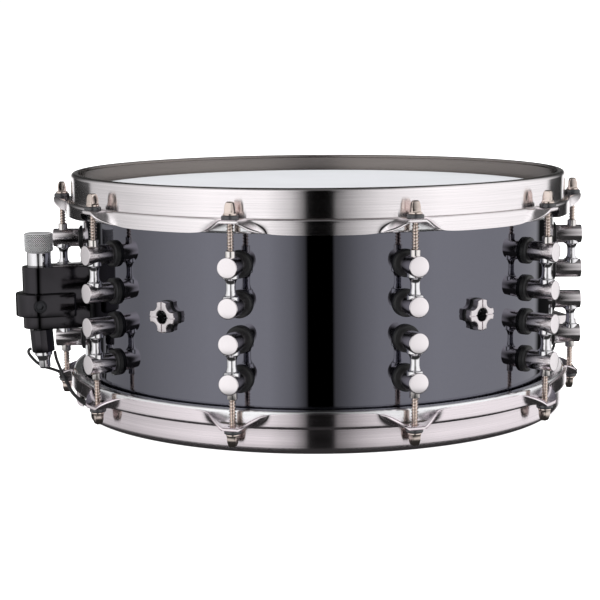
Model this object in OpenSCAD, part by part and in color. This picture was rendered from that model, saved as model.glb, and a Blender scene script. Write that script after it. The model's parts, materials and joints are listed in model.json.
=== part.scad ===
// Snare drum, 14 by 6 inches: a thin metal shell under two heads, ten pairs of tube lugs, double-flanged
// hoops, twenty tension rods, a turning-lever strainer, a butt plate and a set of snare wires.
// Millimetres. The origin is on the drum's axis at the plane that the bottom hoop stands on, with +Z up.
// Angles are measured round the drum from -Y, which is the front, towards +X.

/* [Shell] */
// Outer diameter of the shell
shell_d = 355.6; // [355.2:0.1:356]
// Height of the shell between its bearing edges
shell_depth = 152.4; // [152:0.1:153]
// Thickness of the metal
shell_wall = 1.5; // [1:0.1:2]
// Depth of the snare beds in the bottom bearing edge
snare_bed = 1; // [0.5:0.1:1.2]

/* [Hoops] */
// Height of the shell's middle above the rim that the drum stands on
middle_height = 87.3; // [87:0.1:87.6]
// Outer radius of a hoop's upright wall
hoop_r = 185.5; // [185.3:0.1:185.7]
// Outer radius of the skirt that covers the head's ring
skirt_r = 189.4; // [189.2:0.1:189.6]
// Sheet thickness of the hoops
hoop_t = 2.3; // [2:0.1:2.5]
// Height of the bottom hoop's rim beyond the face of its step
hoop_wall_h = 17.8; // [17.5:0.1:18]
// Height of the top hoop's rim above the face of its step
top_wall_h = 19.6; // [17.8:0.1:20]
// Height of the skirt below the face of its step
skirt_h = 10.4; // [10:0.1:11]
// Radius that the folded rim reaches inwards to
rim_inner_r = 179; // [178.5:0.1:179.5]
// Radius that an ear's tip reaches
ear_r = 200.5; // [200:0.1:201]
// Half the width of an ear at its tip
ear_half = 6.5; // [6:0.1:7]
// Half the width of an ear where it joins the skirt
ear_root_half = 24; // [20:0.5:25]

/* [Lugs and rods] */
// Radius of the circle that the tension rods stand on
rod_circle_r = 194; // [193.8:0.1:194.2]
// Height of the inner lug posts above or below the middle of the shell
post_inner_z = 11.9; // [11.5:0.1:12.5]
// Height of the outer lug posts above or below the middle of the shell
post_outer_z = 38.4; // [38:0.1:39]
// Diameter of a lug post
post_d = 13.8; // [13.4:0.1:14.2]
// Radius that a post's domed tip reaches
post_tip_r = 201.5; // [201:0.1:202]
// Diameter of a tension rod's shank
rod_d = 5; // [4.8:0.1:5.2]
// Length of a tension rod under its head
rod_length = 42; // [38:1:46]
// Width across the flats of a rod's square key end
key_square = 6.2; // [5.8:0.1:6.4]

/* [Strainer] */
// Direction of the strainer, round the drum from the front
strainer_angle = -72; // [-73:0.5:-71]
// Distance of the strainer's upright axis from the drum's axis
strainer_r = 213; // [212.5:0.1:213.5]
// Width of the strainer's block
strainer_w = 24.8; // [24:0.1:25.5]
// Radius of the throw lever's collar
lever_r = 17.6; // [17.4:0.1:18]
// Reach of the lever's arm, from the strainer's axis
lever_reach = 23.4; // [23:0.1:24]
// How far the carriage drops when the snares are off
throw_drop = 4.6; // [4.4:0.1:4.8]

/* [Snares] */
// Number of snare wires
wire_count = 20; // [12:2:24]
// Spacing of the snare wires
wire_pitch = 2.1; // [2:0.05:2.2]
// Outer diameter of one coiled wire
wire_d = 1.7; // [1.5:0.1:1.8]
// Length of the wires between their end plates
wire_length = 292; // [288:1:296]

/* [Hidden] */

$fn = 96;
big_fn = 180;
cut_fn = 720;

// Heights
mid_z = middle_height;
edge_z = shell_depth / 2;
step_z = mid_z - hoop_wall_h;
skirt_z = step_z - skirt_h;

// Shell
shell_r = shell_d / 2;
shell_in_r = shell_r - shell_wall;
edge_lean = 3;
edge_rise = 4;
bed_half_w = 46;
bed_r = (bed_half_w * bed_half_w + snare_bed * snare_bed) / (2 * snare_bed);

// Lugs, their directions and their parts
lug_count = 10;
lug_step = 360 / lug_count;
lug_angles = [for (i = [0:lug_count - 1]) lug_step / 2 + i * lug_step];
post_r = post_d / 2;
gasket_t = 3.5;
gasket_r = 9.4;
post_base_r = shell_r + gasket_t;
insert_r = 3.45;
insert_out = 3.8;
insert_in = 5.1;
thread_gap = 0.05;
tube_end_r = 5.6;
tube_waist_r = 3.2;
tube_bore_r = 2.7;
tube_sink = 3.4;
lug_screw_r = 2;
lug_screw_end = 188;
washer_t = 0.8;
screw_head_h = 2.4;
screw_head_r = 3.6;

// Tension rods
ear_hole_r = 3.2;
rod_washer_t = 2.7;
rod_washer_r = 5.8;
rod_washer_in_r = 2.8;
rod_flange_r = 4.6;
rod_flange_t = 1.1;
key_height = 7.8;
key_flare_h = 3.2;
rod_face_z = step_z + rod_washer_t + 0.05;

// Heads
film_t = 0.25;
snare_film_t = 0.2;
ring_in_r = 180.55;
ring_out_r = 186.8;
ring_top_z = step_z - hoop_t;
batter_ring_z = skirt_z + 0.3;
snare_ring_z = skirt_z - 1.5;

// Vents
vent_angles = [-36, 36];
vent_r = 10.65;
vent_hole_r = 4.45;
vent_neck_r = 6;
vent_cap_out = 184.4;
vent_gasket_t = 1.5;

// Strainer heights, from the middle of the shell
knob_top_z = 49.1;
knob_bottom_z = 35.6;
barrel_top_z = 35.3;
block_top_z = 25.2;
collar_top_z = 6;
collar_bottom_z = -10.5;
block_bottom_z = -19.8;
hex_bottom_z = -37.6;
collet_bottom_z = -50;
collar_gap = 0.4;
strainer_gasket_t = 1.5;
block_base_r = shell_r + strainer_gasket_t;
knob_r = 10.4;
barrel_top_r = 8.65;
barrel_r = 8;
lift_r = 4.9;
lift_bore_r = 5;
lift_top_z = 16;
adjust_r = 2;
adjust_gap = 0.1;
hex_r = 8.35;
hex_gap = 0.9;
clamp_tilt = 4;
collet_r = 6.3;
collet_tip_r = 2.4;
arm_t = 4.8;
arm_end_r = 2;
lever_screw_r = 4.6;
lever_screw_x = 2.8;
lever_screw_proud = 0.9;
lever_screw_len = 5.6;
strainer_screw_z = [14, -13];
strainer_screw_r = 2.5;
strainer_screw_end = 192;

// Snares. The plates are flat strips, and the wires lie on them under the snare-side head
plate_l = 17;
plate_t = 0.8;
plate_w = wire_pitch * wire_count + 2;
wire_z = -edge_z - snare_film_t - 0.3 - wire_d / 2;
plate_z = wire_z - wire_d / 2 - plate_t;
wire_lap = 4;
plate_in_x = wire_length / 2 - wire_lap;
plate_out_x = plate_in_x + plate_l;
cord_r = 1.1;
cord_sides = 8;
cord_y = 9;

// Routes of the cords, each as [distance from the drum's axis, sideways, height from the middle].
// The taut strand runs from the strainer side's plate through the gate and up to the clamp.
cord_route = [[155, 9, -80.6], [164, 9, -80.6], [173, 9, -80.4], [180, 8.6, -79.2], [186, 8, -76],
              [190.6, 7.2, -71], [194.6, 6, -64.6], [198.2, 4.2, -56.6], [201.2, 2.6, -48.6], [202.9, 1.2, -43],
              [203.6, 0.3, -37.9]];
// The slack strand runs from the plate through the gate and loops under the collet.
loop_route = [[155, -9, -80.6], [164, -9, -80.6], [173, -9, -80.4], [180, -8.6, -79.2], [186, -8, -76],
              [190.6, -7.4, -71], [193, -6.6, -65], [195.6, -6, -59], [200, -5.8, -54.6], [206, -6.2, -52],
              [211.4, -6.4, -50], [216.2, -5.2, -46.4], [219.8, -2.8, -42.4],
              [222.2, -1.2, -39], [222.6, -0.4, -36.8], [221.8, 0, -35.5], [220.6, 0, -35.2]];
// The butt's strands run from its plate through the gate and up to its clamp.
butt_route = [[155, 9, -80.6], [164, 9, -80.6], [173, 9, -80.4], [180, 9, -79.2], [186, 9, -76.2],
              [190.8, 9, -71], [194.6, 9, -64.6], [197.4, 9, -59], [198.4, 9, -54.3]];
cord_steps = 3;

// Butt
butt_angle = strainer_angle + 180;
butt_top_z = -31.6;
butt_bottom_z = -54;
butt_w = 42;
butt_out_r = 205;
butt_plate_t = 3.4;
butt_screw_y = 13;
butt_screw_z = -39.5;
butt_screw_head_r = 3.7;
butt_screw_head_l = 6;
butt_mount_z = -47;

// Colours
chrome = [0.78, 0.77, 0.78];
nickel = [0.62, 0.58, 0.55];
hoop_colour = [0.6, 0.57, 0.57];
gloss_black = [0.05, 0.05, 0.06];
rubber_black = [0.1, 0.1, 0.1];
brass = [0.72, 0.6, 0.36];

// Points of a round corner from angle a0 to a1
function arc(cx, cy, r, a0, a1, n = 4) =
    [for (i = [0:n]) let (a = a0 + (a1 - a0) * i / n) [cx + r * cos(a), cy + r * sin(a)]];

// A smooth step from 0 to 1
function ease(u) = let (c = min(1, max(0, u))) c * c * (3 - 2 * c);

// Height of an ear's sheet at a distance sideways from its middle
function ear_height(y) = step_z - skirt_h * ease((abs(y) - ear_half + 1) / (ear_root_half + 2 - ear_half));

// One point between p1 and p2 on a smooth curve that also passes near p0 and p3
function glide(p0, p1, p2, p3, u) =
    0.5 * (2 * p1 + (p2 - p0) * u + (2 * p0 - 5 * p1 + 4 * p2 - p3) * u * u
           + (3 * p1 - p0 - 3 * p2 + p3) * u * u * u);

// A route with cord_steps points for each of its stretches
function smooth_route(route) =
    let (last = len(route) - 1)
    concat([for (i = [0:last - 1], k = [0:cord_steps - 1])
               glide(route[max(0, i - 1)], route[i], route[i + 1], route[min(last, i + 2)], k / cord_steps)],
           [route[last]]);

function unit(v) = v / norm(v);

// The rings of points round a route, and the direction along it at one of its points
function heading(p, i) = unit(p[min(len(p) - 1, i + 1)] - p[max(0, i - 1)]);
function ring(centre, t, r) =
    let (side = unit(cross(t, [0, 1, 0.001])), up = cross(side, t))
    [for (k = [0:cord_sides - 1]) let (a = 360 * k / cord_sides) centre + r * (cos(a) * side + sin(a) * up)];

// Turns to a direction round the drum: +X then points outwards, and +Y sideways
module facing(angle) {
    rotate([0, 0, angle - 90]) children();
}

// Lifts from the middle of the shell to the drum's own frame
module from_middle() {
    translate([0, 0, mid_z]) children();
}

module both_ends() {
    children();
    mirror([0, 0, 1]) children();
}

// A turned piece whose axis points outwards along +X. Its outline is [radius, distance]
module turned_out(outline) {
    rotate([0, 90, 0]) rotate_extrude() polygon(outline);
}

// A tube that follows a route
module cord(route) {
    p = smooth_route(route);
    n = len(p);
    points = [for (i = [0:n - 1]) each ring(p[i], heading(p, i), cord_r)];
    sides = [for (i = [0:n - 2], k = [0:cord_sides - 1])
                let (j = (k + 1) % cord_sides, a = i * cord_sides, b = a + cord_sides)
                [a + k, a + j, b + j, b + k]];
    first_cap = [[for (k = [0:cord_sides - 1]) cord_sides - 1 - k]];
    last_cap = [[for (k = [0:cord_sides - 1]) (n - 1) * cord_sides + k]];
    polyhedron(points, concat(sides, first_cap, last_cap), convexity = 6);
}

module shell() {
    color(gloss_black) from_middle() difference() {
        rotate_extrude($fn = big_fn) polygon([
            [shell_r, edge_rise - edge_z], [shell_r, edge_z - edge_rise],
            [shell_r - edge_lean, edge_z], [shell_in_r - edge_lean, edge_z],
            [shell_in_r, edge_z - edge_rise - shell_wall / 2],
            [shell_in_r, edge_rise + shell_wall / 2 - edge_z],
            [shell_in_r - edge_lean, -edge_z], [shell_r - edge_lean, -edge_z]]);
        for (a = lug_angles) facing(a)
            for (z = [-post_outer_z, -post_inner_z, post_inner_z, post_outer_z])
                radial_hole(z, lug_screw_r + 0.1);
        for (a = vent_angles) facing(a) radial_hole(0, vent_neck_r);
        facing(strainer_angle) for (z = strainer_screw_z) radial_hole(z, strainer_screw_r + 0.1);
        facing(butt_angle) for (y = [-butt_screw_y, butt_screw_y])
            translate([0, y, 0]) radial_hole(butt_mount_z, lug_screw_r + 0.1);
        facing(strainer_angle) snare_bed_cut();
        facing(butt_angle) snare_bed_cut();
    }
}

module radial_hole(z, r) {
    translate([shell_in_r - 4, 0, z]) rotate([0, 90, 0]) cylinder(h = 10, r = r, $fn = 32);
}

// A shallow round hollow in the bottom bearing edge, where the snares cross it
module snare_bed_cut() {
    translate([shell_r - 14, 0, snare_bed - edge_z - bed_r]) rotate([0, 90, 0])
        cylinder(h = 20, r = bed_r, $fn = cut_fn);
}

// A head's film: flat over the bearing edge, then down outside the shell to the ring
module head_film(t, z) {
    rotate_extrude($fn = big_fn) polygon([
        [0, z + t], [175.2, z + t], [178.3 + t, z - 3.1], [180.3 + t, z - 9], [180.3 + t, z - 16],
        [180.3, z - 16], [180.3, z - 9], [178.2, z - 3.3], [175, z], [0, z]]);
}

module batter_head() {
    color("whitesmoke") from_middle() head_film(film_t, edge_z);
}

module snare_side_head() {
    color([0.85, 0.87, 0.88, 0.6]) from_middle() mirror([0, 0, 1]) head_film(snare_film_t, edge_z);
}

module head_ring(end_z) {
    rotate_extrude($fn = big_fn) polygon(concat(
        [[ring_in_r, end_z + 1], [ring_in_r + 1, end_z]],
        arc(ring_out_r - 2, end_z + 2, 2, -90, 0),
        [[ring_out_r, ring_top_z], [ring_in_r, ring_top_z]]));
}

module batter_head_ring() {
    color(chrome) from_middle() head_ring(batter_ring_z);
}

module snare_side_head_ring() {
    color(chrome) from_middle() mirror([0, 0, 1]) head_ring(snare_ring_z);
}

// The hoop's section: folded rim, upright wall, step and skirt
module hoop_section(wall_h) {
    rim_z = step_z + wall_h;
    fold = 3;
    bend = 2;
    in_r = hoop_r - hoop_t;
    polygon(concat(
        [[rim_inner_r + 0.6, rim_z - hoop_t], [rim_inner_r, rim_z - hoop_t + 0.6],
         [rim_inner_r, rim_z - 0.6], [rim_inner_r + 0.6, rim_z]],
        arc(hoop_r - fold, rim_z - fold, fold, 90, 0),
        [[hoop_r, step_z + 0.6], [hoop_r + 0.6, step_z]],
        arc(skirt_r - bend, step_z - bend, bend, 90, 0),
        [[skirt_r, skirt_z + 0.4], [skirt_r - 0.4, skirt_z],
         [skirt_r - hoop_t + 0.4, skirt_z], [skirt_r - hoop_t, skirt_z + 0.4],
         [skirt_r - hoop_t, step_z - hoop_t], [in_r, step_z - hoop_t],
         [in_r, rim_z - hoop_t - 1], [in_r - 1, rim_z - hoop_t]]));
}

// The sideways places at which an ear's curve is drawn
ear_stops = [for (i = [-13:13]) i * 2];

// What is cut from the skirt below an ear's sheet
module ear_window() {
    far = ear_stops[len(ear_stops) - 1];
    translate([skirt_r - hoop_t - 3, 0, 0]) rotate([90, 0, 90]) linear_extrude(6) polygon(concat(
        [for (y = ear_stops) [y, ear_height(y) - hoop_t]],
        [[far, skirt_z - 5], [-far, skirt_z - 5]]));
}

// One ear: a sheet that rises in a double curve to a flat tip, trimmed to a rounded tongue
module ear() {
    tip = 3;
    lap = 1.4;
    difference() {
        intersection() {
            translate([skirt_r - lap, 0, 0]) rotate([90, 0, 90]) linear_extrude(16) polygon(concat(
                [for (y = ear_stops) [y, ear_height(y)]],
                [for (k = [len(ear_stops) - 1:-1:0]) [ear_stops[k], ear_height(ear_stops[k]) - hoop_t]]));
            translate([0, 0, skirt_z - hoop_t - 1]) linear_extrude(skirt_h + 6) polygon(concat(
                [[skirt_r - hoop_t - 1, ear_root_half], [skirt_r - 0.6, ear_root_half]],
                arc(ear_r - tip, ear_half - tip + 0.5, tip, 60, 0, 3),
                arc(ear_r - tip, tip - ear_half - 0.5, tip, 0, -60, 3),
                [[skirt_r - 0.6, -ear_root_half], [skirt_r - hoop_t - 1, -ear_root_half]]));
        }
        translate([rod_circle_r, 0, step_z - 6]) cylinder(h = 12, r = ear_hole_r, $fn = 48);
    }
}

module hoop(wall_h) {
    difference() {
        rotate_extrude($fn = big_fn) hoop_section(wall_h);
        for (a = lug_angles) facing(a) ear_window();
    }
    for (a = lug_angles) facing(a) ear();
}

module top_hoop() {
    color(hoop_colour) from_middle() hoop(top_wall_h);
}

// The bottom hoop has a gate on each side, open to its rim, that the cords pass through
module bottom_hoop() {
    gate_w = 56;
    gate_corner = 4;
    color(hoop_colour) from_middle() difference() {
        mirror([0, 0, 1]) hoop(hoop_wall_h);
        for (a = [strainer_angle, butt_angle]) facing(a)
            translate([170, 0, 0]) rotate([90, 0, 90]) linear_extrude(17) polygon(concat(
                [[gate_w / 2, -mid_z - 1]],
                arc(gate_w / 2 - gate_corner, -step_z - gate_corner - 2, gate_corner, 0, 90),
                arc(gate_corner - gate_w / 2, -step_z - gate_corner - 2, gate_corner, 90, 180),
                [[-gate_w / 2, -mid_z - 1]]));
    }
}

// A post: a round bar that stands out of the shell and ends in a shallow dome
module post(z) {
    base_bevel = 0.5;
    tip_bevel = 1.2;
    dome = 0.8;
    translate([0, 0, z]) difference() {
        turned_out([[0, post_base_r], [post_r - base_bevel, post_base_r], [post_r, post_base_r + base_bevel],
                    [post_r, post_tip_r - dome - tip_bevel], [post_r - tip_bevel, post_tip_r - dome],
                    [post_r * 0.62, post_tip_r - dome * 0.32], [post_r * 0.3, post_tip_r - dome * 0.06],
                    [0, post_tip_r]]);
        translate([post_base_r - 1, 0, 0]) rotate([0, 90, 0])
            cylinder(h = lug_screw_end - post_base_r + 1, r = lug_screw_r, $fn = 32);
    }
}

// The two posts of one half lug. The outer one is bored for the rod's insert
module half_lug_posts() {
    post(post_inner_z);
    difference() {
        post(post_outer_z);
        translate([rod_circle_r, 0, post_outer_z - post_r - 1]) cylinder(h = post_d + 2, r = insert_r);
    }
}

module lug_posts() {
    color(nickel) from_middle() for (a = lug_angles) facing(a) both_ends() half_lug_posts();
}

// The waisted tube between two posts, cut to fit against their round sides
module half_lug_tube() {
    low = post_inner_z + tube_sink;
    high = post_outer_z - tube_sink;
    lip = post_inner_z + post_r + 0.4;
    neck = lip + 3.4;
    difference() {
        translate([rod_circle_r, 0, 0]) rotate_extrude($fn = 48) polygon([
            [tube_bore_r, low], [tube_end_r, low], [tube_end_r, lip], [tube_end_r - 0.3, lip + 0.5],
            [tube_waist_r + 0.45, neck - 1.2], [tube_waist_r, neck + 0.6],
            [tube_waist_r, low + high - neck - 0.6], [tube_waist_r + 0.45, low + high - neck + 1.2],
            [tube_end_r - 0.3, low + high - lip - 0.5], [tube_end_r, low + high - lip],
            [tube_end_r, high], [tube_bore_r, high]]);
        for (z = [post_inner_z, post_outer_z])
            translate([rod_circle_r - 12, 0, z]) rotate([0, 90, 0]) cylinder(h = 24, r = post_r);
    }
}

module lug_tubes() {
    color(chrome) from_middle() for (a = lug_angles) facing(a) both_ends() half_lug_tube();
}

// Threaded sleeves that the rods screw into. Each stands a little out of its post
module lug_inserts() {
    outer = post_outer_z + post_r + insert_out;
    inner = post_outer_z - insert_in;
    color(brass) from_middle() for (a = lug_angles) facing(a) both_ends()
        translate([rod_circle_r, 0, inner]) difference() {
            cylinder(h = outer - inner, r = insert_r);
            translate([0, 0, -1]) cylinder(h = outer - inner + 2, r = rod_d / 2 + thread_gap);
        }
}

module lug_gaskets() {
    color(rubber_black) from_middle() for (a = lug_angles) facing(a)
        for (z = [-post_outer_z, -post_inner_z, post_inner_z, post_outer_z])
            translate([0, 0, z]) difference() {
                turned_out([[lug_screw_r + 0.2, shell_r - 2], [gasket_r, shell_r - 2],
                            [gasket_r, post_base_r - 0.9], [gasket_r - 0.9, post_base_r],
                            [lug_screw_r + 0.2, post_base_r]]);
                translate([0, 0, -z - edge_z]) cylinder(h = shell_depth, r = shell_r, $fn = cut_fn);
            }
}

// A pan-head screw from inside the shell, with a cross cut in its head
module inside_screw(r, end, head_r) {
    head_x = shell_in_r - washer_t;
    slot = 0.9;
    difference() {
        turned_out([[0, head_x - screw_head_h], [head_r - 0.8, head_x - screw_head_h],
                    [head_r, head_x - screw_head_h + 0.8], [head_r, head_x], [r, head_x],
                    [r, end - 0.6], [r - 0.6, end], [0, end]]);
        for (turn = [0, 90]) translate([head_x - screw_head_h - 1, 0, 0]) rotate([turn, 0, 0])
            translate([0, -head_r * 0.6, -slot / 2]) cube([2.2, head_r * 1.2, slot]);
    }
}

module lug_screws() {
    color("silver") from_middle() for (a = lug_angles) facing(a)
        for (z = [-post_outer_z, -post_inner_z, post_inner_z, post_outer_z])
            translate([0, 0, z]) inside_screw(lug_screw_r, lug_screw_end, screw_head_r);
}

module lug_screw_washers() {
    color("silver") from_middle() for (a = lug_angles) facing(a)
        for (z = [-post_outer_z, -post_inner_z, post_inner_z, post_outer_z])
            translate([shell_in_r - washer_t, 0, z]) rotate([0, 90, 0]) difference() {
                cylinder(h = washer_t - 0.1, r = 5, $fn = 48);
                translate([0, 0, -1]) cylinder(h = 3, r = lug_screw_r, $fn = 32);
            }
}

// One tension rod with its flange and its square key end
module rod() {
    flare_z = rod_face_z + rod_flange_t;
    key_z = flare_z + key_flare_h;
    top_z = rod_face_z + rod_flange_t + key_height;
    translate([rod_circle_r, 0, 0]) {
        rotate_extrude($fn = 48) polygon([
            [0, rod_face_z - rod_length], [rod_d / 2 - 0.8, rod_face_z - rod_length],
            [rod_d / 2, rod_face_z - rod_length + 0.8], [rod_d / 2, rod_face_z],
            [rod_flange_r, rod_face_z], [rod_flange_r, flare_z - 0.2], [rod_flange_r - 0.3, flare_z],
            [key_square / 2, key_z], [0, key_z]]);
        intersection() {
            translate([-key_square / 2, -key_square / 2, flare_z])
                cube([key_square, key_square, top_z - flare_z]);
            rotate_extrude($fn = 48) polygon([
                [0, flare_z], [4.1, flare_z], [3.9, top_z - 3.4], [3.2, top_z - 0.8],
                [2.1, top_z], [0, top_z]]);
        }
    }
}

// The washers that lie between the ears and the rods' flanges
module rod_washers() {
    soft = 0.7;
    for (a = lug_angles) facing(a) translate([rod_circle_r, 0, step_z]) rotate_extrude($fn = 48) polygon([
        [rod_washer_in_r, 0], [rod_washer_r - 0.3, 0], [rod_washer_r, 0.3],
        [rod_washer_r, rod_washer_t - soft], [rod_washer_r - soft, rod_washer_t],
        [rod_washer_in_r, rod_washer_t]]);
}

module rod_washers_top() {
    color(rubber_black) from_middle() rod_washers();
}

module rod_washers_bottom() {
    color(rubber_black) from_middle() mirror([0, 0, 1]) rod_washers();
}

module tension_rod_top(i) {
    color(nickel) from_middle() facing(lug_angles[i]) rod();
}

module tension_rod_bottom(i) {
    color(nickel) from_middle() facing(lug_angles[i]) mirror([0, 0, 1]) rod();
}

// A vent's outline: a disc with four round bites, which leave four lobes
module vent_outline(r) {
    bite_r = 5;
    bite_at = 12.5;
    difference() {
        circle(r = r);
        for (a = [45:90:315]) rotate(a) translate([bite_at, 0]) circle(r = bite_r, $fn = 48);
    }
}

module vent_caps() {
    slot_w = 1;
    slot_deep = 1.4;
    face_t = vent_cap_out - shell_r - vent_gasket_t;
    color(chrome) from_middle() for (a = vent_angles) facing(a) difference() {
        union() {
            translate([shell_r + vent_gasket_t, 0, 0]) rotate([90, 0, 90]) linear_extrude(face_t)
                vent_outline(vent_r);
            translate([shell_in_r - 5, 0, 0]) rotate([0, 90, 0])
                cylinder(h = 5 + shell_wall + vent_gasket_t + 1, r = vent_neck_r);
        }
        translate([shell_in_r - 6, 0, 0]) rotate([0, 90, 0]) cylinder(h = 20, r = vent_hole_r);
        for (turn = [0:90:270]) translate([vent_cap_out - slot_deep, 0, 0]) rotate([turn, 0, 0])
            translate([0, -slot_w / 2, vent_hole_r - 1]) cube([slot_deep + 1, slot_w, vent_r]);
    }
}

module vent_gaskets() {
    color(rubber_black) from_middle() for (a = vent_angles) facing(a) difference() {
        translate([shell_r - 2, 0, 0]) rotate([90, 0, 90]) linear_extrude(vent_gasket_t + 2)
            vent_outline(vent_r + 0.4);
        translate([shell_r - 3, 0, 0]) rotate([0, 90, 0]) cylinder(h = 6, r = vent_neck_r);
        translate([0, 0, -20]) cylinder(h = 40, r = shell_r, $fn = cut_fn);
    }
}

module vent_nuts() {
    nut_t = 3;
    color("silver") from_middle() for (a = vent_angles) facing(a)
        translate([shell_in_r - nut_t - 0.6, 0, 0]) rotate([0, 90, 0]) difference() {
            cylinder(h = nut_t, r = 9.6, $fn = 6);
            translate([0, 0, -1]) cylinder(h = nut_t + 2, r = vent_neck_r);
        }
}

// The block's plan: a bar from the shell to a half-round nose on the strainer's axis
module block_plan() {
    translate([shell_r - 2, -strainer_w / 2]) square([strainer_r - shell_r + 2, strainer_w]);
    translate([strainer_r, 0]) circle(r = strainer_w / 2);
}

module strainer_body() {
    slot_z = collar_bottom_z - collar_gap;
    slot_h = collar_top_z - collar_bottom_z + 2 * collar_gap;
    color(gloss_black) from_middle() facing(strainer_angle) difference() {
        translate([0, 0, block_bottom_z]) linear_extrude(block_top_z - block_bottom_z) block_plan();
        // The gap that the lever's collar turns in
        translate([strainer_r, 0, slot_z]) cylinder(h = slot_h, r = lever_r + 0.8);
        translate([strainer_r, 0, block_bottom_z - 1])
            cylinder(h = block_top_z - block_bottom_z + 2, r = barrel_r);
        translate([0, 0, block_bottom_z - 1]) cylinder(h = 60, r = block_base_r, $fn = big_fn);
        for (z = strainer_screw_z) translate([shell_r - 1, 0, z]) rotate([0, 90, 0])
            cylinder(h = strainer_screw_end - shell_r + 1, r = strainer_screw_r, $fn = 32);
    }
}

module strainer_gasket() {
    h = block_top_z - block_bottom_z;
    color(rubber_black) from_middle() facing(strainer_angle) difference() {
        intersection() {
            translate([0, 0, block_bottom_z]) cylinder(h = h, r = block_base_r, $fn = big_fn);
            translate([shell_r - 3, -strainer_w / 2 - 0.6, block_bottom_z]) cube([8, strainer_w + 1.2, h]);
        }
        translate([0, 0, block_bottom_z - 1]) cylinder(h = h + 2, r = shell_r, $fn = big_fn);
        for (z = strainer_screw_z) radial_hole(z, strainer_screw_r + 0.1);
    }
}

module strainer_screws() {
    color("silver") from_middle() facing(strainer_angle) for (z = strainer_screw_z)
        translate([0, 0, z]) inside_screw(strainer_screw_r, strainer_screw_end, 4.6);
}

// The barrel joins the block's two halves through the lever's collar and guides the lift rod
module strainer_barrel() {
    pin_slot_w = 3.4;
    color(chrome) from_middle() facing(strainer_angle) translate([strainer_r, 0, 0]) difference() {
        rotate_extrude() polygon([
            [lift_bore_r, block_bottom_z], [barrel_r, block_bottom_z], [barrel_r, block_top_z],
            [barrel_top_r, block_top_z], [barrel_top_r, barrel_top_z - 0.5],
            [barrel_top_r - 0.5, barrel_top_z], [lift_bore_r, barrel_top_z]]);
        // Upright slots that let the cam pin slide
        translate([-pin_slot_w / 2, -barrel_r - 1, collar_bottom_z + 2])
            cube([pin_slot_w, 2 * barrel_r + 2, collar_top_z - collar_bottom_z - 4]);
    }
}

// The lever: a collar round the barrel, and one arm that lies along the side of the block
module throw_lever() {
    h = collar_top_z - collar_bottom_z;
    track_r = barrel_r + 3.2;
    color(gloss_black) from_middle() facing(strainer_angle)
        translate([strainer_r, 0, collar_bottom_z]) difference() {
            linear_extrude(h) difference() {
                union() {
                    circle(r = lever_r);
                    translate([arm_end_r - lever_reach, lever_r - arm_t]) square([lever_reach - arm_end_r, arm_t]);
                    translate([arm_end_r - lever_reach, lever_r - arm_end_r]) circle(r = arm_end_r, $fn = 32);
                    translate([-lever_reach, lever_r - arm_t]) square([arm_end_r + 1, arm_t - arm_end_r]);
                }
                circle(r = barrel_r + 0.1);
            }
            // Inside track that the cam pin's ends run in
            translate([0, 0, 2.2]) cylinder(h = h - 4.4, r = track_r);
            // Seat of the clamp screw
            translate([lever_screw_x, lever_r - lever_screw_len + lever_screw_proud, h / 2])
                rotate([-90, 0, 0]) cylinder(h = 12, r = lever_screw_r, $fn = 48);
        }
}

// The socket-head screw in the lever's side
module lever_screw() {
    h = collar_top_z - collar_bottom_z;
    color(gloss_black) from_middle() facing(strainer_angle)
        translate([strainer_r + lever_screw_x, lever_r - lever_screw_len + lever_screw_proud,
                   collar_bottom_z + h / 2])
        rotate([-90, 0, 0]) difference() {
            cylinder(h = lever_screw_len, r = lever_screw_r, $fn = 48);
            translate([0, 0, lever_screw_len - 2.4]) cylinder(h = 4, r = 2.3, $fn = 6);
        }
}

module tension_knob() {
    color("silver") from_middle() facing(strainer_angle) translate([strainer_r, 0, 0]) difference() {
        rotate_extrude() polygon([
            [0, knob_bottom_z], [knob_r - 0.8, knob_bottom_z], [knob_r, knob_bottom_z + 0.8],
            [knob_r, knob_top_z - 1], [knob_r - 1, knob_top_z], [0, knob_top_z]]);
        translate([0, 0, knob_bottom_z - 1]) cylinder(h = 9, r = adjust_r);
    }
}

// The long screw under the knob, which draws the lift rod up as it turns
module adjust_screw() {
    color("silver") from_middle() facing(strainer_angle) translate([strainer_r, 0, -14])
        cylinder(h = knob_bottom_z + 8 + 14, r = adjust_r);
}

module lift_rod() {
    color("silver") from_middle() facing(strainer_angle) translate([strainer_r, 0, 0]) difference() {
        translate([0, 0, block_bottom_z - 6]) cylinder(h = lift_top_z - block_bottom_z + 6, r = lift_r);
        translate([0, 0, -20]) cylinder(h = 40, r = adjust_r + adjust_gap);
        translate([0, -lift_r - 1, -2]) rotate([-90, 0, 0]) cylinder(h = 2 * lift_r + 2, r = 1.5, $fn = 32);
    }
}

// Two short pins through the lift rod, whose ends run in the lever's track
module cam_pin() {
    pin_out = barrel_r + 2.2;
    pin_in = adjust_r + 0.5;
    color("silver") from_middle() facing(strainer_angle) translate([strainer_r, 0, -2])
        for (side = [-90, 90]) rotate([side, 0, 0]) translate([0, 0, pin_in])
            cylinder(h = pin_out - pin_in, r = 1.5, $fn = 32);
}

// The cord clamp hangs on the lift rod and leans a little towards the shell, as the cords pull it
module clamp_lean() {
    translate([0, 0, block_bottom_z]) rotate([0, clamp_tilt, 0]) translate([0, 0, -block_bottom_z]) children();
}

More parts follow.
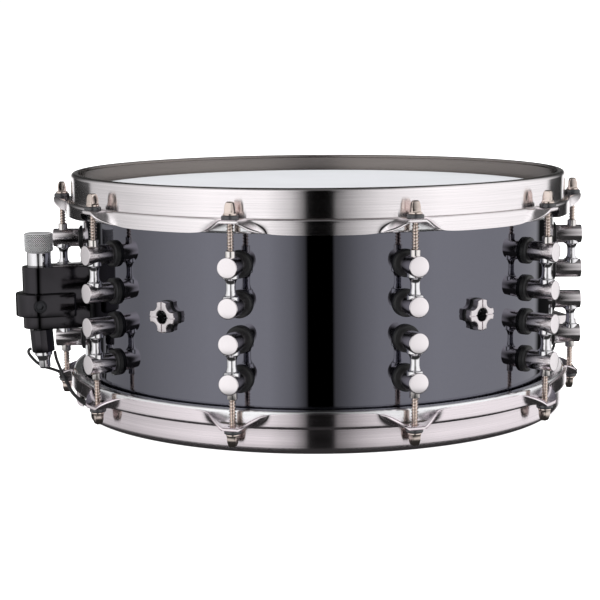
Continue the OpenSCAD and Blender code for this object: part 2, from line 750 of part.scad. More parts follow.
// The clamp's twelve-sided nut, with its rims bevelled
module clamp_hex() {
    top = block_bottom_z - hex_gap;
    bevel = 0.7;
    color(gloss_black) from_middle() facing(strainer_angle) translate([strainer_r, 0, 0]) difference() {
        clamp_lean() intersection() {
            rotate([0, 0, 15]) translate([0, 0, hex_bottom_z])
                cylinder(h = top - hex_bottom_z, r = hex_r, $fn = 12);
            rotate_extrude() polygon([
                [0, hex_bottom_z], [hex_r - bevel, hex_bottom_z], [hex_r + bevel, hex_bottom_z + 2 * bevel],
                [hex_r + bevel, top - 2 * bevel], [hex_r - bevel, top], [0, top]]);
        }
        translate([0, 0, block_bottom_z - 6]) cylinder(h = 10, r = lift_r);
    }
}

module clamp_collet() {
    h = hex_bottom_z - collet_bottom_z;
    color(chrome) from_middle() facing(strainer_angle) translate([strainer_r, 0, 0]) clamp_lean() difference() {
        rotate_extrude() polygon([
            [0, collet_bottom_z], [collet_tip_r + 0.9, collet_bottom_z],
            [collet_tip_r + 1.6, collet_bottom_z + 0.8], [collet_tip_r + 1.9, collet_bottom_z + h * 0.5],
            [collet_r - 1, collet_bottom_z + h * 0.72], [collet_r, collet_bottom_z + h * 0.8],
            [collet_r, hex_bottom_z], [0, hex_bottom_z]]);
        translate([0, 0, collet_bottom_z - 1]) cylinder(h = 7, r = 1.3, $fn = 32);
    }
}

module snare_cord() {
    color(rubber_black) from_middle() facing(strainer_angle) cord(cord_route);
}

module snare_cord_loop() {
    color(rubber_black) from_middle() facing(strainer_angle) cord(loop_route);
}

// An end plate: a flat strip with rounded corners and two holes for the cords
module snare_plate() {
    corner = 3;
    translate([0, 0, plate_z]) linear_extrude(plate_t) difference() {
        polygon(concat(
            [[plate_in_x, -plate_w / 2]],
            arc(plate_out_x - corner, corner - plate_w / 2, corner, -90, 0),
            arc(plate_out_x - corner, plate_w / 2 - corner, corner, 0, 90),
            [[plate_in_x, plate_w / 2]]));
        for (y = [-cord_y, cord_y]) translate([plate_out_x - 4, y]) circle(r = 1.6, $fn = 32);
    }
}

module snare_plate_strainer() {
    color("silver") from_middle() facing(strainer_angle) snare_plate();
}

module snare_plate_butt() {
    color("silver") from_middle() facing(butt_angle) snare_plate();
}

module snare_wires() {
    first = -(wire_count - 1) / 2 * wire_pitch;
    color("silver") from_middle() facing(strainer_angle) for (i = [0:wire_count - 1])
        translate([-wire_length / 2, first + i * wire_pitch, wire_z]) rotate([0, 90, 0])
            cylinder(h = wire_length, r = wire_d / 2, $fn = 24);
}

// The butt: a block on the shell that holds the far ends of the cords under a plate
module butt_body() {
    corner = 3;
    color(chrome) from_middle() facing(butt_angle) difference() {
        translate([0, 0, butt_bottom_z]) linear_extrude(butt_top_z - butt_bottom_z) polygon(concat(
            [[shell_r - 2, -butt_w / 2]],
            arc(butt_out_r - corner, corner - butt_w / 2, corner, -90, 0),
            arc(butt_out_r - corner, butt_w / 2 - corner, corner, 0, 90),
            [[shell_r - 2, butt_w / 2]]));
        translate([0, 0, butt_bottom_z - 1]) cylinder(h = 30, r = block_base_r, $fn = big_fn);
        for (y = [-butt_screw_y, butt_screw_y]) {
            translate([shell_r, y, butt_mount_z]) rotate([0, 90, 0]) cylinder(h = 10, r = lug_screw_r, $fn = 32);
            translate([butt_out_r - 12, y, butt_screw_z]) rotate([0, 90, 0]) cylinder(h = 13, r = 1.9, $fn = 32);
        }
    }
}

module butt_gasket() {
    h = butt_top_z - butt_bottom_z;
    color(rubber_black) from_middle() facing(butt_angle) difference() {
        intersection() {
            translate([0, 0, butt_bottom_z]) cylinder(h = h, r = block_base_r, $fn = big_fn);
            translate([shell_r - 6, -butt_w / 2 - 0.6, butt_bottom_z]) cube([12, butt_w + 1.2, h]);
        }
        translate([0, 0, butt_bottom_z - 1]) cylinder(h = h + 2, r = shell_r, $fn = big_fn);
        for (y = [-butt_screw_y, butt_screw_y])
            translate([0, y, 0]) radial_hole(butt_mount_z, lug_screw_r + 0.1);
    }
}

module butt_clamp_plate() {
    plate_h = 15;
    corner = 2.5;
    half = butt_w / 2 - 2;
    color(chrome) from_middle() facing(butt_angle) difference() {
        translate([butt_out_r, 0, butt_top_z - plate_h - 1]) rotate([90, 0, 90]) linear_extrude(butt_plate_t)
            polygon(concat(
                arc(half - corner, corner, corner, -90, 0),
                arc(half - corner, plate_h - corner, corner, 0, 90),
                arc(corner - half, plate_h - corner, corner, 90, 180),
                arc(corner - half, corner, corner, 180, 270)));
        for (y = [-butt_screw_y, butt_screw_y])
            translate([butt_out_r - 1, y, butt_screw_z]) rotate([0, 90, 0]) cylinder(h = 6, r = 2.1, $fn = 32);
    }
}

// The two clamp screws outside, and the two that hold the block from inside the shell
module butt_screws() {
    face = butt_out_r + butt_plate_t;
    r = butt_screw_head_r;
    color("silver") from_middle() facing(butt_angle) for (y = [-butt_screw_y, butt_screw_y]) {
        translate([0, y, butt_screw_z]) difference() {
            turned_out([[0, butt_out_r - 11], [1.9, butt_out_r - 11], [1.9, face], [r, face],
                        [r, face + butt_screw_head_l - 2.4], [r - 0.9, face + butt_screw_head_l - 0.8],
                        [r - 2.2, face + butt_screw_head_l], [0, face + butt_screw_head_l]]);
            translate([face + butt_screw_head_l - 1.6, -5, -0.6]) cube([3, 10, 1.2]);
        }
        translate([0, y, butt_mount_z]) inside_screw(lug_screw_r, 187, screw_head_r);
    }
}

module butt_cords() {
    color(rubber_black) from_middle() facing(butt_angle) {
        cord(butt_route);
        mirror([0, 1, 0]) cord(butt_route);
    }
}

shell();
batter_head();
batter_head_ring();
snare_side_head();
snare_side_head_ring();
top_hoop();
bottom_hoop();
lug_posts();
lug_tubes();
lug_inserts();
lug_gaskets();
lug_screws();
lug_screw_washers();
rod_washers_top();
rod_washers_bottom();
vent_caps();
vent_gaskets();
vent_nuts();
strainer_body();
strainer_gasket();
strainer_screws();
strainer_barrel();
throw_lever();
lever_screw();
tension_knob();
adjust_screw();
lift_rod();
cam_pin();
clamp_hex();
clamp_collet();
snare_cord();
snare_cord_loop();
snare_plate_strainer();
snare_plate_butt();
snare_wires();
butt_body();
butt_gasket();
butt_clamp_plate();
butt_screws();
butt_cords();
for (i = [0:lug_count - 1]) {
    tension_rod_top(i);
    tension_rod_bottom(i);
}
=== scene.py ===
import json
import math
import bmesh
import bpy
from mathutils import Matrix, Vector


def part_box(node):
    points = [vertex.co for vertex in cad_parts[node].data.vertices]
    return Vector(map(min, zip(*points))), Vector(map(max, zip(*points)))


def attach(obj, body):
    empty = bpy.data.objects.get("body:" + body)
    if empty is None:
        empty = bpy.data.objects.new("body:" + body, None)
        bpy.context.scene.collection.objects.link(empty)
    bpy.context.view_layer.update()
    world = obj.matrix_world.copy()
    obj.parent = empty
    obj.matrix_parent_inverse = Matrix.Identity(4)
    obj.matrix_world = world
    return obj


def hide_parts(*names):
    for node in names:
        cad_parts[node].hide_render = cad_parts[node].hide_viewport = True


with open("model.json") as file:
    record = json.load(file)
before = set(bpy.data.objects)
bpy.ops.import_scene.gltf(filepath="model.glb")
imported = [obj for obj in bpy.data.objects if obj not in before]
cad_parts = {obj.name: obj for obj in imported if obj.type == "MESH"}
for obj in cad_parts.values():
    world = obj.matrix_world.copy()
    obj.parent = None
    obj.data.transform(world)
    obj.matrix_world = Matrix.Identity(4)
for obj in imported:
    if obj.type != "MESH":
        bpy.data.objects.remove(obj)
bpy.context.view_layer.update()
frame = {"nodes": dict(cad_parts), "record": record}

# A 14 by 6 inch metal-shell snare drum on a white studio floor. Lengths in the outlines are in millimetres,
# from the drum's axis and from the middle of its shell, and MM turns them into metres. Angles run round the
# drum from the front, which is -Y, towards +X.
MM = 0.001

# Places that come from the CAD frame
shell_low, shell_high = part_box("shell")
MID = (shell_low.z + shell_high.z) / 2
SHELL_R = (shell_high.x - shell_low.x) / 2 / MM
EDGE_Z = (shell_high.z - shell_low.z) / 2 / MM
TOP_RIM_Z = (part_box("top_hoop")[1].z - MID) / MM
LOW_RIM_Z = (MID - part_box("bottom_hoop")[0].z) / MM


def centre_of(node):
    low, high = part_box(node)
    return (low + high) / 2


def angle_of(point):
    return math.degrees(math.atan2(point.x, -point.y))


RODS = 10
LUG_ANGLES = [angle_of(centre_of(f"tension_rod_top_{i + 1}")) for i in range(RODS)]
ROD_R = centre_of("tension_rod_top_1").xy.length / MM
KNOB = centre_of("tension_knob")
STRAINER_ANGLE = angle_of(KNOB)
STRAINER_R = KNOB.xy.length / MM
BUTT_ANGLE = STRAINER_ANGLE + 180

# Places also in the CAD source
VENT_ANGLES = (-36, 36)
LUG_Z = (11.9, 38.4)
POST_R = 6.9
GASKET_FRONT = SHELL_R + 1.5


# -------- building meshes

def facing(angle):
    """Puts a millimetre piece on the drum: +X outwards at that angle, Z from the shell's middle."""
    turn = Matrix.Rotation(math.radians(angle - 90), 4, "Z")
    return Matrix.Translation((0, 0, MID)) @ turn @ Matrix.Scale(MM, 4)


def moved(x=0, y=0, z=0):
    return Matrix.Translation((x, y, z))


def turned(degrees, axis):
    return Matrix.Rotation(math.radians(degrees), 4, axis)


OUTWARDS = turned(90, "Y")
UPSIDE_DOWN = turned(180, "X")


def arc(cx, cy, radius, start, end, steps=6):
    """Points of a round corner."""
    points = []
    for i in range(steps + 1):
        a = math.radians(start + (end - start) * i / steps)
        points.append((cx + radius * math.cos(a), cy + radius * math.sin(a)))
    return points


def soften(points, radius, steps, closed=False):
    """Rounds the corners of an outline. radius is one number, or one for each point."""
    count = len(points)
    radii = radius if isinstance(radius, (list, tuple)) else [radius] * count
    out = []
    for i, point in enumerate(points):
        if (not closed and i in (0, count - 1)) or radii[i] <= 0:
            out.append(tuple(point))
            continue
        here = Vector(point)
        before = Vector(points[i - 1]) - here
        after = Vector(points[(i + 1) % count]) - here
        half = before.angle(after) / 2
        reach = radii[i] / math.tan(half)
        reach = min(reach, before.length * 0.49, after.length * 0.49)
        p0 = here + before.normalized() * reach
        p2 = here + after.normalized() * reach
        true_r = reach * math.tan(half)
        middle = here + (before.normalized() + after.normalized()).normalized() * true_r / math.sin(half)
        a0 = math.atan2(p0.y - middle.y, p0.x - middle.x)
        a1 = math.atan2(p2.y - middle.y, p2.x - middle.x)
        turn = (a1 - a0 + math.pi) % math.tau - math.pi
        for k in range(steps + 1):
            a = a0 + turn * k / steps
            out.append((middle.x + true_r * math.cos(a), middle.y + true_r * math.sin(a)))
    return out


def circle(r, z, count):
    turns = [math.tau * k / count for k in range(count)]
    return [(r * math.cos(a), r * math.sin(a), z) for a in turns]


def add_row(rows, verts, points):
    rows.append(list(range(len(verts), len(verts) + len(points))))
    verts.extend(points)


def lathe(outline, count, closed=False):
    """Turns an outline of (radius, height) about Z. Points on the axis become single vertices."""
    verts = []
    rows = []
    for r, z in outline:
        if abs(r) < 1e-6:
            rows.append([len(verts)] * count)
            verts.append((0, 0, z))
        else:
            add_row(rows, verts, circle(r, z, count))
    return verts, faces_between(rows, closed)


def cylinder(r, low, high, count):
    return lathe([(0, low), (r, low), (r, high), (0, high)], count)


def faces_between(rows, closed_ends):
    """Quads between neighbouring rings of vertex numbers, leaving out the repeated vertices at a pole."""
    faces = []
    last = len(rows) if closed_ends else len(rows) - 1
    for i in range(last):
        low = rows[i]
        high = rows[(i + 1) % len(rows)]
        for k in range(len(low)):
            n = (k + 1) % len(low)
            face = []
            for v in (low[k], low[n], high[n], high[k]):
                if v not in face:
                    face.append(v)
            if len(face) > 2:
                faces.append(face)
    return faces


def stack(rings):
    """A solid through rings of points with the same count, closed by a fan at each end."""
    verts = []
    rows = []
    for ring in rings:
        add_row(rows, verts, ring)
    faces = faces_between(rows, False)
    for ring, row, flip in ((rings[0], rows[0], True), (rings[-1], rows[-1], False)):
        middle = sum((Vector(p) for p in ring), Vector()) / len(ring)
        verts.append(tuple(middle))
        hub = len(verts) - 1
        for k in range(len(row)):
            pair = (row[k], row[(k + 1) % len(row)])
            faces.append([hub, pair[1], pair[0]] if flip else [hub, pair[0], pair[1]])
    return verts, faces


def block(plan, low, high, soft):
    """An upright block. plan(inset) gives its outline; its top and bottom edges are rounded by soft."""
    steps = 3
    rings = []
    for z, sign in ((low, 1), (high, -1)):
        edge = []
        for k in range(steps + 1):
            a = math.pi / 2 * k / steps
            inset = soft * (1 - math.sin(a))
            edge.append([(x, y, z + sign * soft * (1 - math.cos(a))) for x, y in plan(inset)])
        rings.extend(edge if sign > 0 else reversed(edge))
    return stack(rings)


def put(part, matrix):
    verts, faces = part
    return [tuple(matrix @ Vector(v)) for v in verts], faces


def joined(parts):
    verts = []
    faces = []
    for part_verts, part_faces in parts:
        start = len(verts)
        verts.extend(part_verts)
        faces.extend([[v + start for v in face] for face in part_faces])
    return verts, faces


def mesh_of(name, part):
    verts, faces = part
    mesh = bpy.data.meshes.new(name)
    mesh.from_pydata(verts, [], faces)
    mesh.update()
    return mesh


def part_of(mesh):
    return [tuple(v.co) for v in mesh.vertices], [list(p.vertices) for p in mesh.polygons]


def outward(mesh):
    """Turns every closed part's faces outwards."""
    work = bmesh.new()
    work.from_mesh(mesh)
    bmesh.ops.recalc_face_normals(work, faces=work.faces)
    work.to_mesh(mesh)
    work.free()


def linked(name, data):
    made = bpy.data.objects.new(name, data)
    bpy.context.scene.collection.objects.link(made)
    return made


def cut(mesh, cutters):
    """The mesh with the cutter parts taken away."""
    outward(mesh)
    target = linked("target", mesh)
    tools = []
    for cutter in cutters:
        tool_mesh = mesh_of("tool", cutter)
        outward(tool_mesh)
        tool = linked("tool", tool_mesh)
        tools.append(tool)
        change = target.modifiers.new("cut", "BOOLEAN")
        change.operation = "DIFFERENCE"
        change.solver = "MANIFOLD"
        change.object = tool
    bpy.context.view_layer.update()
    graph = bpy.context.evaluated_depsgraph_get()
    result = bpy.data.meshes.new_from_object(target.evaluated_get(graph))
    for thing in tools + [target]:
        bpy.data.objects.remove(thing)
    return result


BODY_OF = {}
for body, nodes in frame["record"]["behaviour"]["bodies"].items():
    for node_name in nodes:
        BODY_OF[node_name] = body


def piece(name, mesh, material, slot, *nodes, sharp=32):
    """A shown piece that stands for CAD nodes and rides on their body."""
    outward(mesh)
    mesh.materials.clear()
    mesh.materials.append(material)
    mesh.shade_smooth()
    mesh.set_sharp_from_angle(angle=math.radians(sharp))
    made = linked(name, mesh)
    bpy.context.view_layer.update()
    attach(made, BODY_OF[nodes[0]])
    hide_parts(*nodes)
    return made


# -------- materials

def node(tree, kind, inputs=None, **settings):
    made = tree.nodes.new("ShaderNode" + kind)
    for key, value in settings.items():
        setattr(made, key, value)
    for key, value in (inputs or {}).items():
        if isinstance(value, bpy.types.NodeSocket):
            tree.links.new(value, made.inputs[key])
        else:
            made.inputs[key].default_value = value
    return made


def maths(tree, operation, *values):
    return node(tree, "Math", dict(enumerate(values)), operation=operation).outputs[0]


def spread(tree, value, low, high):
    """A 0 to 1 value mapped from low to high."""
    return node(tree, "MapRange", {"Value": value, "To Min": low, "To Max": high}).outputs["Result"]


def shades(tree, value, dark, light):
    """A 0 to 1 value as a colour between two."""
    ramp = node(tree, "ValToRGB", {"Fac": value})
    ramp.color_ramp.elements[0].position = 0.3
    ramp.color_ramp.elements[1].position = 0.7
    ramp.color_ramp.elements[0].color = (*dark, 1)
    ramp.color_ramp.elements[1].color = (*light, 1)
    return ramp.outputs["Color"]


def dress(tree, shader, value, dark, light, height, strength, depth):
    """Links a 0 to 1 value as a colour between two, and a height as relief."""
    tree.links.new(shades(tree, value, dark, light), shader.inputs["Base Color"])
    relief = node(tree, "Bump", {"Height": height, "Strength": strength, "Distance": depth})
    tree.links.new(relief.outputs["Normal"], shader.inputs["Normal"])


def blank(name, **values):
    """A new material with its tree and its Principled shader, and values that are the same all over."""
    material = bpy.data.materials.new(name)
    material.use_nodes = True
    tree = material.node_tree
    shader = tree.nodes["Principled BSDF"]
    for key, value in values.items():
        shader.inputs[key.replace("_", " ")].default_value = value
    return material, tree, shader


def place_of(tree, stretch):
    at = node(tree, "TexCoord").outputs["Object"]
    return node(tree, "Mapping", {"Vector": at, "Scale": stretch}).outputs["Vector"]


def finish(name, colour, rough, grain, tint=0.08, bump=0.05, stretch=(1, 1, 1), wear=60,
           depth=0.00005, **values):
    """A surface with a fine grain and some broader wear: they vary its colour by tint and its roughness
    between two values, and the fine grain also stands out as relief."""
    material, tree, shader = blank(name, **values)
    at = place_of(tree, stretch)
    fine = node(tree, "TexNoise", {"Vector": at, "Scale": grain, "Detail": 4}).outputs["Fac"]
    broad = node(tree, "TexNoise", {"Vector": at, "Scale": wear, "Detail": 3}).outputs["Fac"]
    both = maths(tree, "MULTIPLY_ADD", fine, 0.5, maths(tree, "MULTIPLY", broad, 0.5))
    dress(tree, shader, both, [c * (1 - tint) for c in colour], colour, fine, bump, depth)
    tree.links.new(spread(tree, both, rough[0], rough[1]), shader.inputs["Roughness"])
    return material


def brushed_round(name, colour, rough, lines, tint, along):
    """Metal brushed in lines round the drum's axis: the grain follows the circumference, and the reflections
    spread across the lines."""
    material, tree, shader = blank(name, Metallic=1, Anisotropic=1.0, Anisotropic_Rotation=0.25)
    at = node(tree, "TexCoord").outputs["Object"]
    split = node(tree, "SeparateXYZ", {"Vector": at})
    flat = node(tree, "CombineXYZ", {"X": split.outputs["X"], "Y": split.outputs["Y"]}).outputs["Vector"]
    radius = node(tree, "VectorMath", {0: flat}, operation="LENGTH").outputs["Value"]
    across = maths(tree, "MULTIPLY", maths(tree, "ADD", split.outputs["Z"], radius), lines)
    slow = node(tree, "VectorMath", {0: flat, "Scale": along}, operation="SCALE").outputs["Vector"]
    grain = {"Vector": slow, "W": across, "Scale": 1, "Detail": 3}
    fine = node(tree, "TexNoise", grain, noise_dimensions="4D").outputs["Fac"]
    dress(tree, shader, fine, [c * (1 - tint) for c in colour], colour, fine, 0.12, 0.00003)
    tree.links.new(spread(tree, fine, rough[0], rough[1]), shader.inputs["Roughness"])
    around = node(tree, "Tangent", direction_type="RADIAL", axis="Z")
    tree.links.new(around.outputs["Tangent"], shader.inputs["Tangent"])
    return material


def braid(name, colour):
    """Braided cord: two families of strands cross along the tube's UV map."""
    strands_around = 4
    strands_per_metre = 500
    material, tree, shader = blank(name, Roughness=0.75)
    uv = node(tree, "SeparateXYZ", {"Vector": node(tree, "TexCoord").outputs["UV"]})
    around = maths(tree, "MULTIPLY", uv.outputs["X"], math.tau * strands_around)
    along = maths(tree, "MULTIPLY", uv.outputs["Y"], math.tau * strands_per_metre)
    left = maths(tree, "SINE", maths(tree, "ADD", around, along))
    right = maths(tree, "SINE", maths(tree, "SUBTRACT", around, along))
    weave = maths(tree, "MULTIPLY_ADD", maths(tree, "MULTIPLY", left, right), 0.5, 0.5)
    dress(tree, shader, weave, [c * 0.4 for c in colour], colour, weave, 0.6, 0.0003)
    return material


SHELL_BLACK = finish("shell_black", (0.15, 0.15, 0.178), (0.015, 0.05), 400, tint=0.04, bump=0.01,
                     wear=12, Metallic=1)
COATED = finish("coated_film", (0.72, 0.73, 0.76), (0.5, 0.62), 2600, tint=0.07, bump=0.5, wear=25,
                depth=0.0001)
CLEAR = finish("clear_film", (0.9, 0.92, 0.93), (0.1, 0.2), 900, tint=0.05, Transmission_Weight=0.8,
               IOR=1.3)
FLESH = brushed_round("flesh_hoop", (0.96, 0.96, 0.98), (0.16, 0.26), 900, 0.06, 9)
TOP_HOOP = brushed_round("hoop_nickel", (0.99, 0.94, 0.96), (0.13, 0.19), 1500, 0.14, 12)
# The bottom hoop has the same plating as the top one, made darker and pinker here: painted shade.
BOTTOM_HOOP_SHADED = brushed_round("hoop_nickel_low_painted_shade", (0.93, 0.85, 0.89), (0.13, 0.19), 1500, 0.14, 12)
# A darker copy of the hoop's metal for the inside of the wall and the flats of rim and step: painted shade.
HOOP_PAINTED_SHADE = brushed_round("hoop_painted_shade", (0.27, 0.243, 0.228), (0.2, 0.3), 1500, 0.16, 12)
LUG = finish("lug_nickel", (0.90, 0.85, 0.87), (0.12, 0.2), 1600, tint=0.07, bump=0.04, Metallic=1)
TUBE = finish("tube_chrome", (0.86, 0.85, 0.87), (0.05, 0.1), 700, tint=0.05, bump=0.02, Metallic=1)
INSERT = finish("insert_metal", (0.86, 0.82, 0.80), (0.12, 0.22), 900, Metallic=1)
RUBBER = finish("rubber_black", (0.014, 0.014, 0.015), (0.3, 0.44), 1800, tint=0.3, bump=0.15,
                Specular_IOR_Level=0.3)
ZINC = finish("zinc_steel", (0.66, 0.66, 0.67), (0.22, 0.36), 1200, tint=0.12, bump=0.08, Metallic=1)
NYLON = finish("washer_nylon", (0.03, 0.03, 0.034), (0.16, 0.24), 1500, tint=0.2, bump=0.04, IOR=1.7)
ROD = finish("rod_nickel", (0.80, 0.69, 0.63), (0.1, 0.18), 1500, tint=0.14, bump=0.06, Metallic=1)
VENT = finish("vent_nickel", (0.80, 0.75, 0.77), (0.26, 0.36), 1800, bump=0.08, Metallic=1)
ANODISED = finish("black_anodised", (0.05, 0.047, 0.052), (0.07, 0.13), 2200, tint=0.2, bump=0.03,
                  Metallic=1)
BLACK_STEEL = finish("black_steel", (0.05, 0.05, 0.055), (0.2, 0.3), 1500, tint=0.2, Metallic=1)
KNOB_METAL = finish("knob_aluminium", (0.97, 0.97, 0.98), (0.36, 0.46), 1500, tint=0.07, Metallic=0.75)
# A dark copy of the knob's metal for the knurl's grooves: painted shade.
KNURL_PAINTED_SHADE = finish("knurl_groove_painted_shade", (0.1, 0.1, 0.11), (0.4, 0.5), 1500, tint=0.2, Metallic=1)
CORD = braid("cord_black", (0.035, 0.035, 0.038))
PLATE = finish("plate_steel", (0.68, 0.68, 0.69), (0.24, 0.36), 900, tint=0.12, stretch=(1, 4, 1),
               Metallic=1)
SNARE = finish("snare_steel", (0.76, 0.76, 0.77), (0.18, 0.3), 1200, tint=0.12, Metallic=1)
BUTT = finish("butt_chrome", (0.80, 0.76, 0.77), (0.14, 0.24), 1300, Metallic=1)


# -------- camera

# Distance in metres, angles in degrees, lens and sensor in millimetres
CAMERA_DISTANCE = 1.226
CAMERA_UP = 8.584
CAMERA_ROUND = -0.378
CAMERA_ROLL = -0.402
CAMERA_LENS = 95.81
CAMERA_SENSOR = 36
LOOK_AT = Vector((-0.0138, 0, 0.076))


def set_camera():
    up = math.radians(CAMERA_UP)
    way = math.radians(CAMERA_ROUND)
    back = Vector((math.cos(up) * math.sin(way), -math.cos(up) * math.cos(way), math.sin(up)))
    data = bpy.data.cameras.new("camera")
    data.lens = CAMERA_LENS
    data.sensor_width = CAMERA_SENSOR
    camera = linked("camera", data)
    aim = (-back).to_track_quat("-Z", "Y").to_matrix().to_4x4()
    roll = Matrix.Rotation(math.radians(CAMERA_ROLL), 4, "Z")
    camera.matrix_world = Matrix.Translation(LOOK_AT + back * CAMERA_DISTANCE) @ aim @ roll
    bpy.context.scene.camera = camera


set_camera()


# -------- cords

def glide(p0, p1, p2, p3, u):
    """A point between p1 and p2 on a smooth curve that also passes p0 and p3."""
    return 0.5 * (2 * p1 + (p2 - p0) * u + (2 * p0 - 5 * p1 + 4 * p2 - p3) * u ** 2
                  + (3 * p1 - p0 - 3 * p2 + p3) * u ** 3)


def smooth_route(route, steps):
    points = [Vector(p) for p in route]
    last = len(points) - 1
    out = []
    for i in range(last):
        before = points[max(0, i - 1)]
        after = points[min(last, i + 2)]
        for k in range(steps):
            out.append(glide(before, points[i], points[i + 1], after, k / steps))
    out.append(points[last])
    return out


def tube(path, radius, sides, side_hint=Vector((0, 1, 0.001))):
    """A tube along a path, with the length so far kept for its UV map."""
    rings = []
    lengths = []
    total = 0
    for i, point in enumerate(path):
        ahead = path[min(len(path) - 1, i + 1)]
        behind = path[max(0, i - 1)]
        heading = (ahead - behind).normalized()
        side = heading.cross(side_hint).normalized()
        up = side.cross(heading)
        ring = []
        for k in range(sides):
            a = math.tau * k / sides
            ring.append(tuple(point + radius * (math.cos(a) * side + math.sin(a) * up)))
        rings.append(ring)
        if i:
            total += (point - path[i - 1]).length
        lengths.append(total)
    return stack(rings), lengths


# Routes from the wires' end plate, through the hoop's gate and up to the clamp or butt: (out, across, up)
CORD_R = 1.1
CORD_SIDES = 16
CORD_STEPS = 6
TAUT = [(155, 9, -80.6), (164, 9, -80.6), (173, 9, -80.4), (180, 8.6, -79.2), (186, 8, -76),
        (190.6, 7.2, -71), (194.6, 6, -64.6), (198.2, 4.2, -56.6), (201.2, 2.6, -48.6), (202.9, 1.2, -43),
        (203.6, 0.3, -37.9)]
SLACK = [(155, -9, -80.6), (164, -9, -80.6), (173, -9, -80.4), (180, -8.6, -79.2), (186, -8, -76),
         (190.6, -7.4, -71), (193, -6.6, -65), (195.6, -6, -59), (200, -5.8, -54.6), (206, -6.2, -52),
         (211.4, -6.4, -50), (216.2, -5.2, -46.4), (219.8, -2.8, -42.4), (222.2, -1.2, -39),
         (222.6, -0.4, -36.8), (221.8, 0, -35.5), (220.6, 0, -35.2)]
BUTT_CORD = [(155, 9, -80.6), (164, 9, -80.6), (173, 9, -80.4), (180, 9, -79.2), (186, 9, -76.2),
             (190.8, 9, -71), (194.6, 9, -64.6), (197.4, 9, -59), (198.4, 9, -54.3)]


def cord_mesh(name, routes, angle):
    parts = []
    all_lengths = []
    for route in routes:
        part, lengths = tube(smooth_route(route, CORD_STEPS), CORD_R, CORD_SIDES)
        parts.append(put(part, facing(angle)))
        all_lengths.append(lengths)
    mesh = mesh_of(name, joined(parts))
    along = []
    for lengths in all_lengths:
        for length in lengths:
            along.extend([(k / CORD_SIDES, length * MM) for k in range(CORD_SIDES)])
        along.extend([(0, 0), (0, lengths[-1] * MM)])
    layer = mesh.uv_layers.new(name="braid")
    for polygon in mesh.polygons:
        corners = [along[mesh.loops[i].vertex_index] for i in polygon.loop_indices]
        wraps = max(c[0] for c in corners) > 0.9
        for i, (u, v) in zip(polygon.loop_indices, corners):
            layer.data[i].uv = (1 if wraps and u == 0 else u, v)
    return mesh


def mirrored(route):
    return [(x, -y, z) for x, y, z in route]


CORDS = (
    ("taut_cord", [TAUT], STRAINER_ANGLE, "snare_cord"),
    ("slack_cord", [SLACK], STRAINER_ANGLE, "snare_cord_loop"),
    ("butt_side_cords", [BUTT_CORD, mirrored(BUTT_CORD)], BUTT_ANGLE, "butt_cords"),
)
for cord_name, cord_routes, cord_angle, cord_node in CORDS:
    piece(cord_name, cord_mesh(cord_name, cord_routes, cord_angle), CORD, "cord_black", cord_node)


# -------- shell and heads

WALL = 1.5
BEARING_LEAN = 3
BEARING_RISE = 4
VENT_NECK = 6
FILM_T = 0.25
LOWER_FILM_T = 0.2
RING_END = 59.4
LOWER_RING_END = 57.6


def build_shell():
    inside = SHELL_R - WALL
    outline = [(SHELL_R, BEARING_RISE - EDGE_Z), (SHELL_R, -8), (SHELL_R, 8),
               (SHELL_R, EDGE_Z - BEARING_RISE),
               (SHELL_R - BEARING_LEAN, EDGE_Z), (inside - BEARING_LEAN, EDGE_Z),
               (inside, EDGE_Z - BEARING_RISE - WALL / 2), (inside, BEARING_RISE + WALL / 2 - EDGE_Z),
               (inside - BEARING_LEAN, -EDGE_Z), (SHELL_R - BEARING_LEAN, -EDGE_Z)]
    mesh = mesh_of("shell", put(lathe(outline, 360, closed=True), facing(90)))
    hole = cylinder(VENT_NECK, -12, 8, 48)
    holes = [put(hole, facing(a) @ moved(SHELL_R) @ OUTWARDS) for a in VENT_ANGLES]
    piece("drum_shell", cut(mesh, holes), SHELL_BLACK, "shell_black", "shell", sharp=25)


def film_outline(t, z):
    """A head's film over the bearing edge at height z, and down beside the shell into its flesh hoop."""
    top = [(0, z + t), (60, z + t), (120, z + t), (174, z + t), (176.3, z + t - 0.5), (178.3 + t, z - 3.1),
           (179.9 + t, z - 6.8), (180.3 + t, z - 9.5), (180.3 + t, z - 16)]
    under = [(180.3, z - 16), (180.3, z - 9.5), (179.9, z - 6.9), (178.2, z - 3.3), (176.2, z - 0.5),
             (174, z), (120, z), (60, z), (0, z)]
    return top + under


def build_heads():
    upper = lathe(film_outline(FILM_T, EDGE_Z), 240)
    mesh = mesh_of("batter_film", put(upper, facing(90)))
    piece("batter_film", mesh, COATED, "coated_film", "batter_head")
    lower = lathe(film_outline(LOWER_FILM_T, EDGE_Z), 240)
    mesh = mesh_of("snare_film", put(lower, facing(90) @ UPSIDE_DOWN))
    piece("snare_film", mesh, CLEAR, "clear_film", "snare_side_head")


def ring_outline(end_z):
    """A flesh hoop that ends at end_z."""
    corners = [(180.55, end_z), (186.8, end_z), (186.8, 67.2), (180.55, 67.2)]
    return soften(corners, [0.8, 2, 1, 0.5], 5, closed=True)


def build_rings():
    upper = lathe(ring_outline(RING_END), 360, closed=True)
    mesh = mesh_of("batter_ring", put(upper, facing(90)))
    piece("batter_flesh_hoop", mesh, FLESH, "flesh_hoop", "batter_head_ring")
    lower = lathe(ring_outline(LOWER_RING_END), 360, closed=True)
    mesh = mesh_of("snare_ring", put(lower, facing(90) @ UPSIDE_DOWN))
    piece("snare_flesh_hoop", mesh, FLESH, "flesh_hoop", "snare_side_head_ring")


build_shell()
build_heads()
build_rings()


# -------- counter hoops

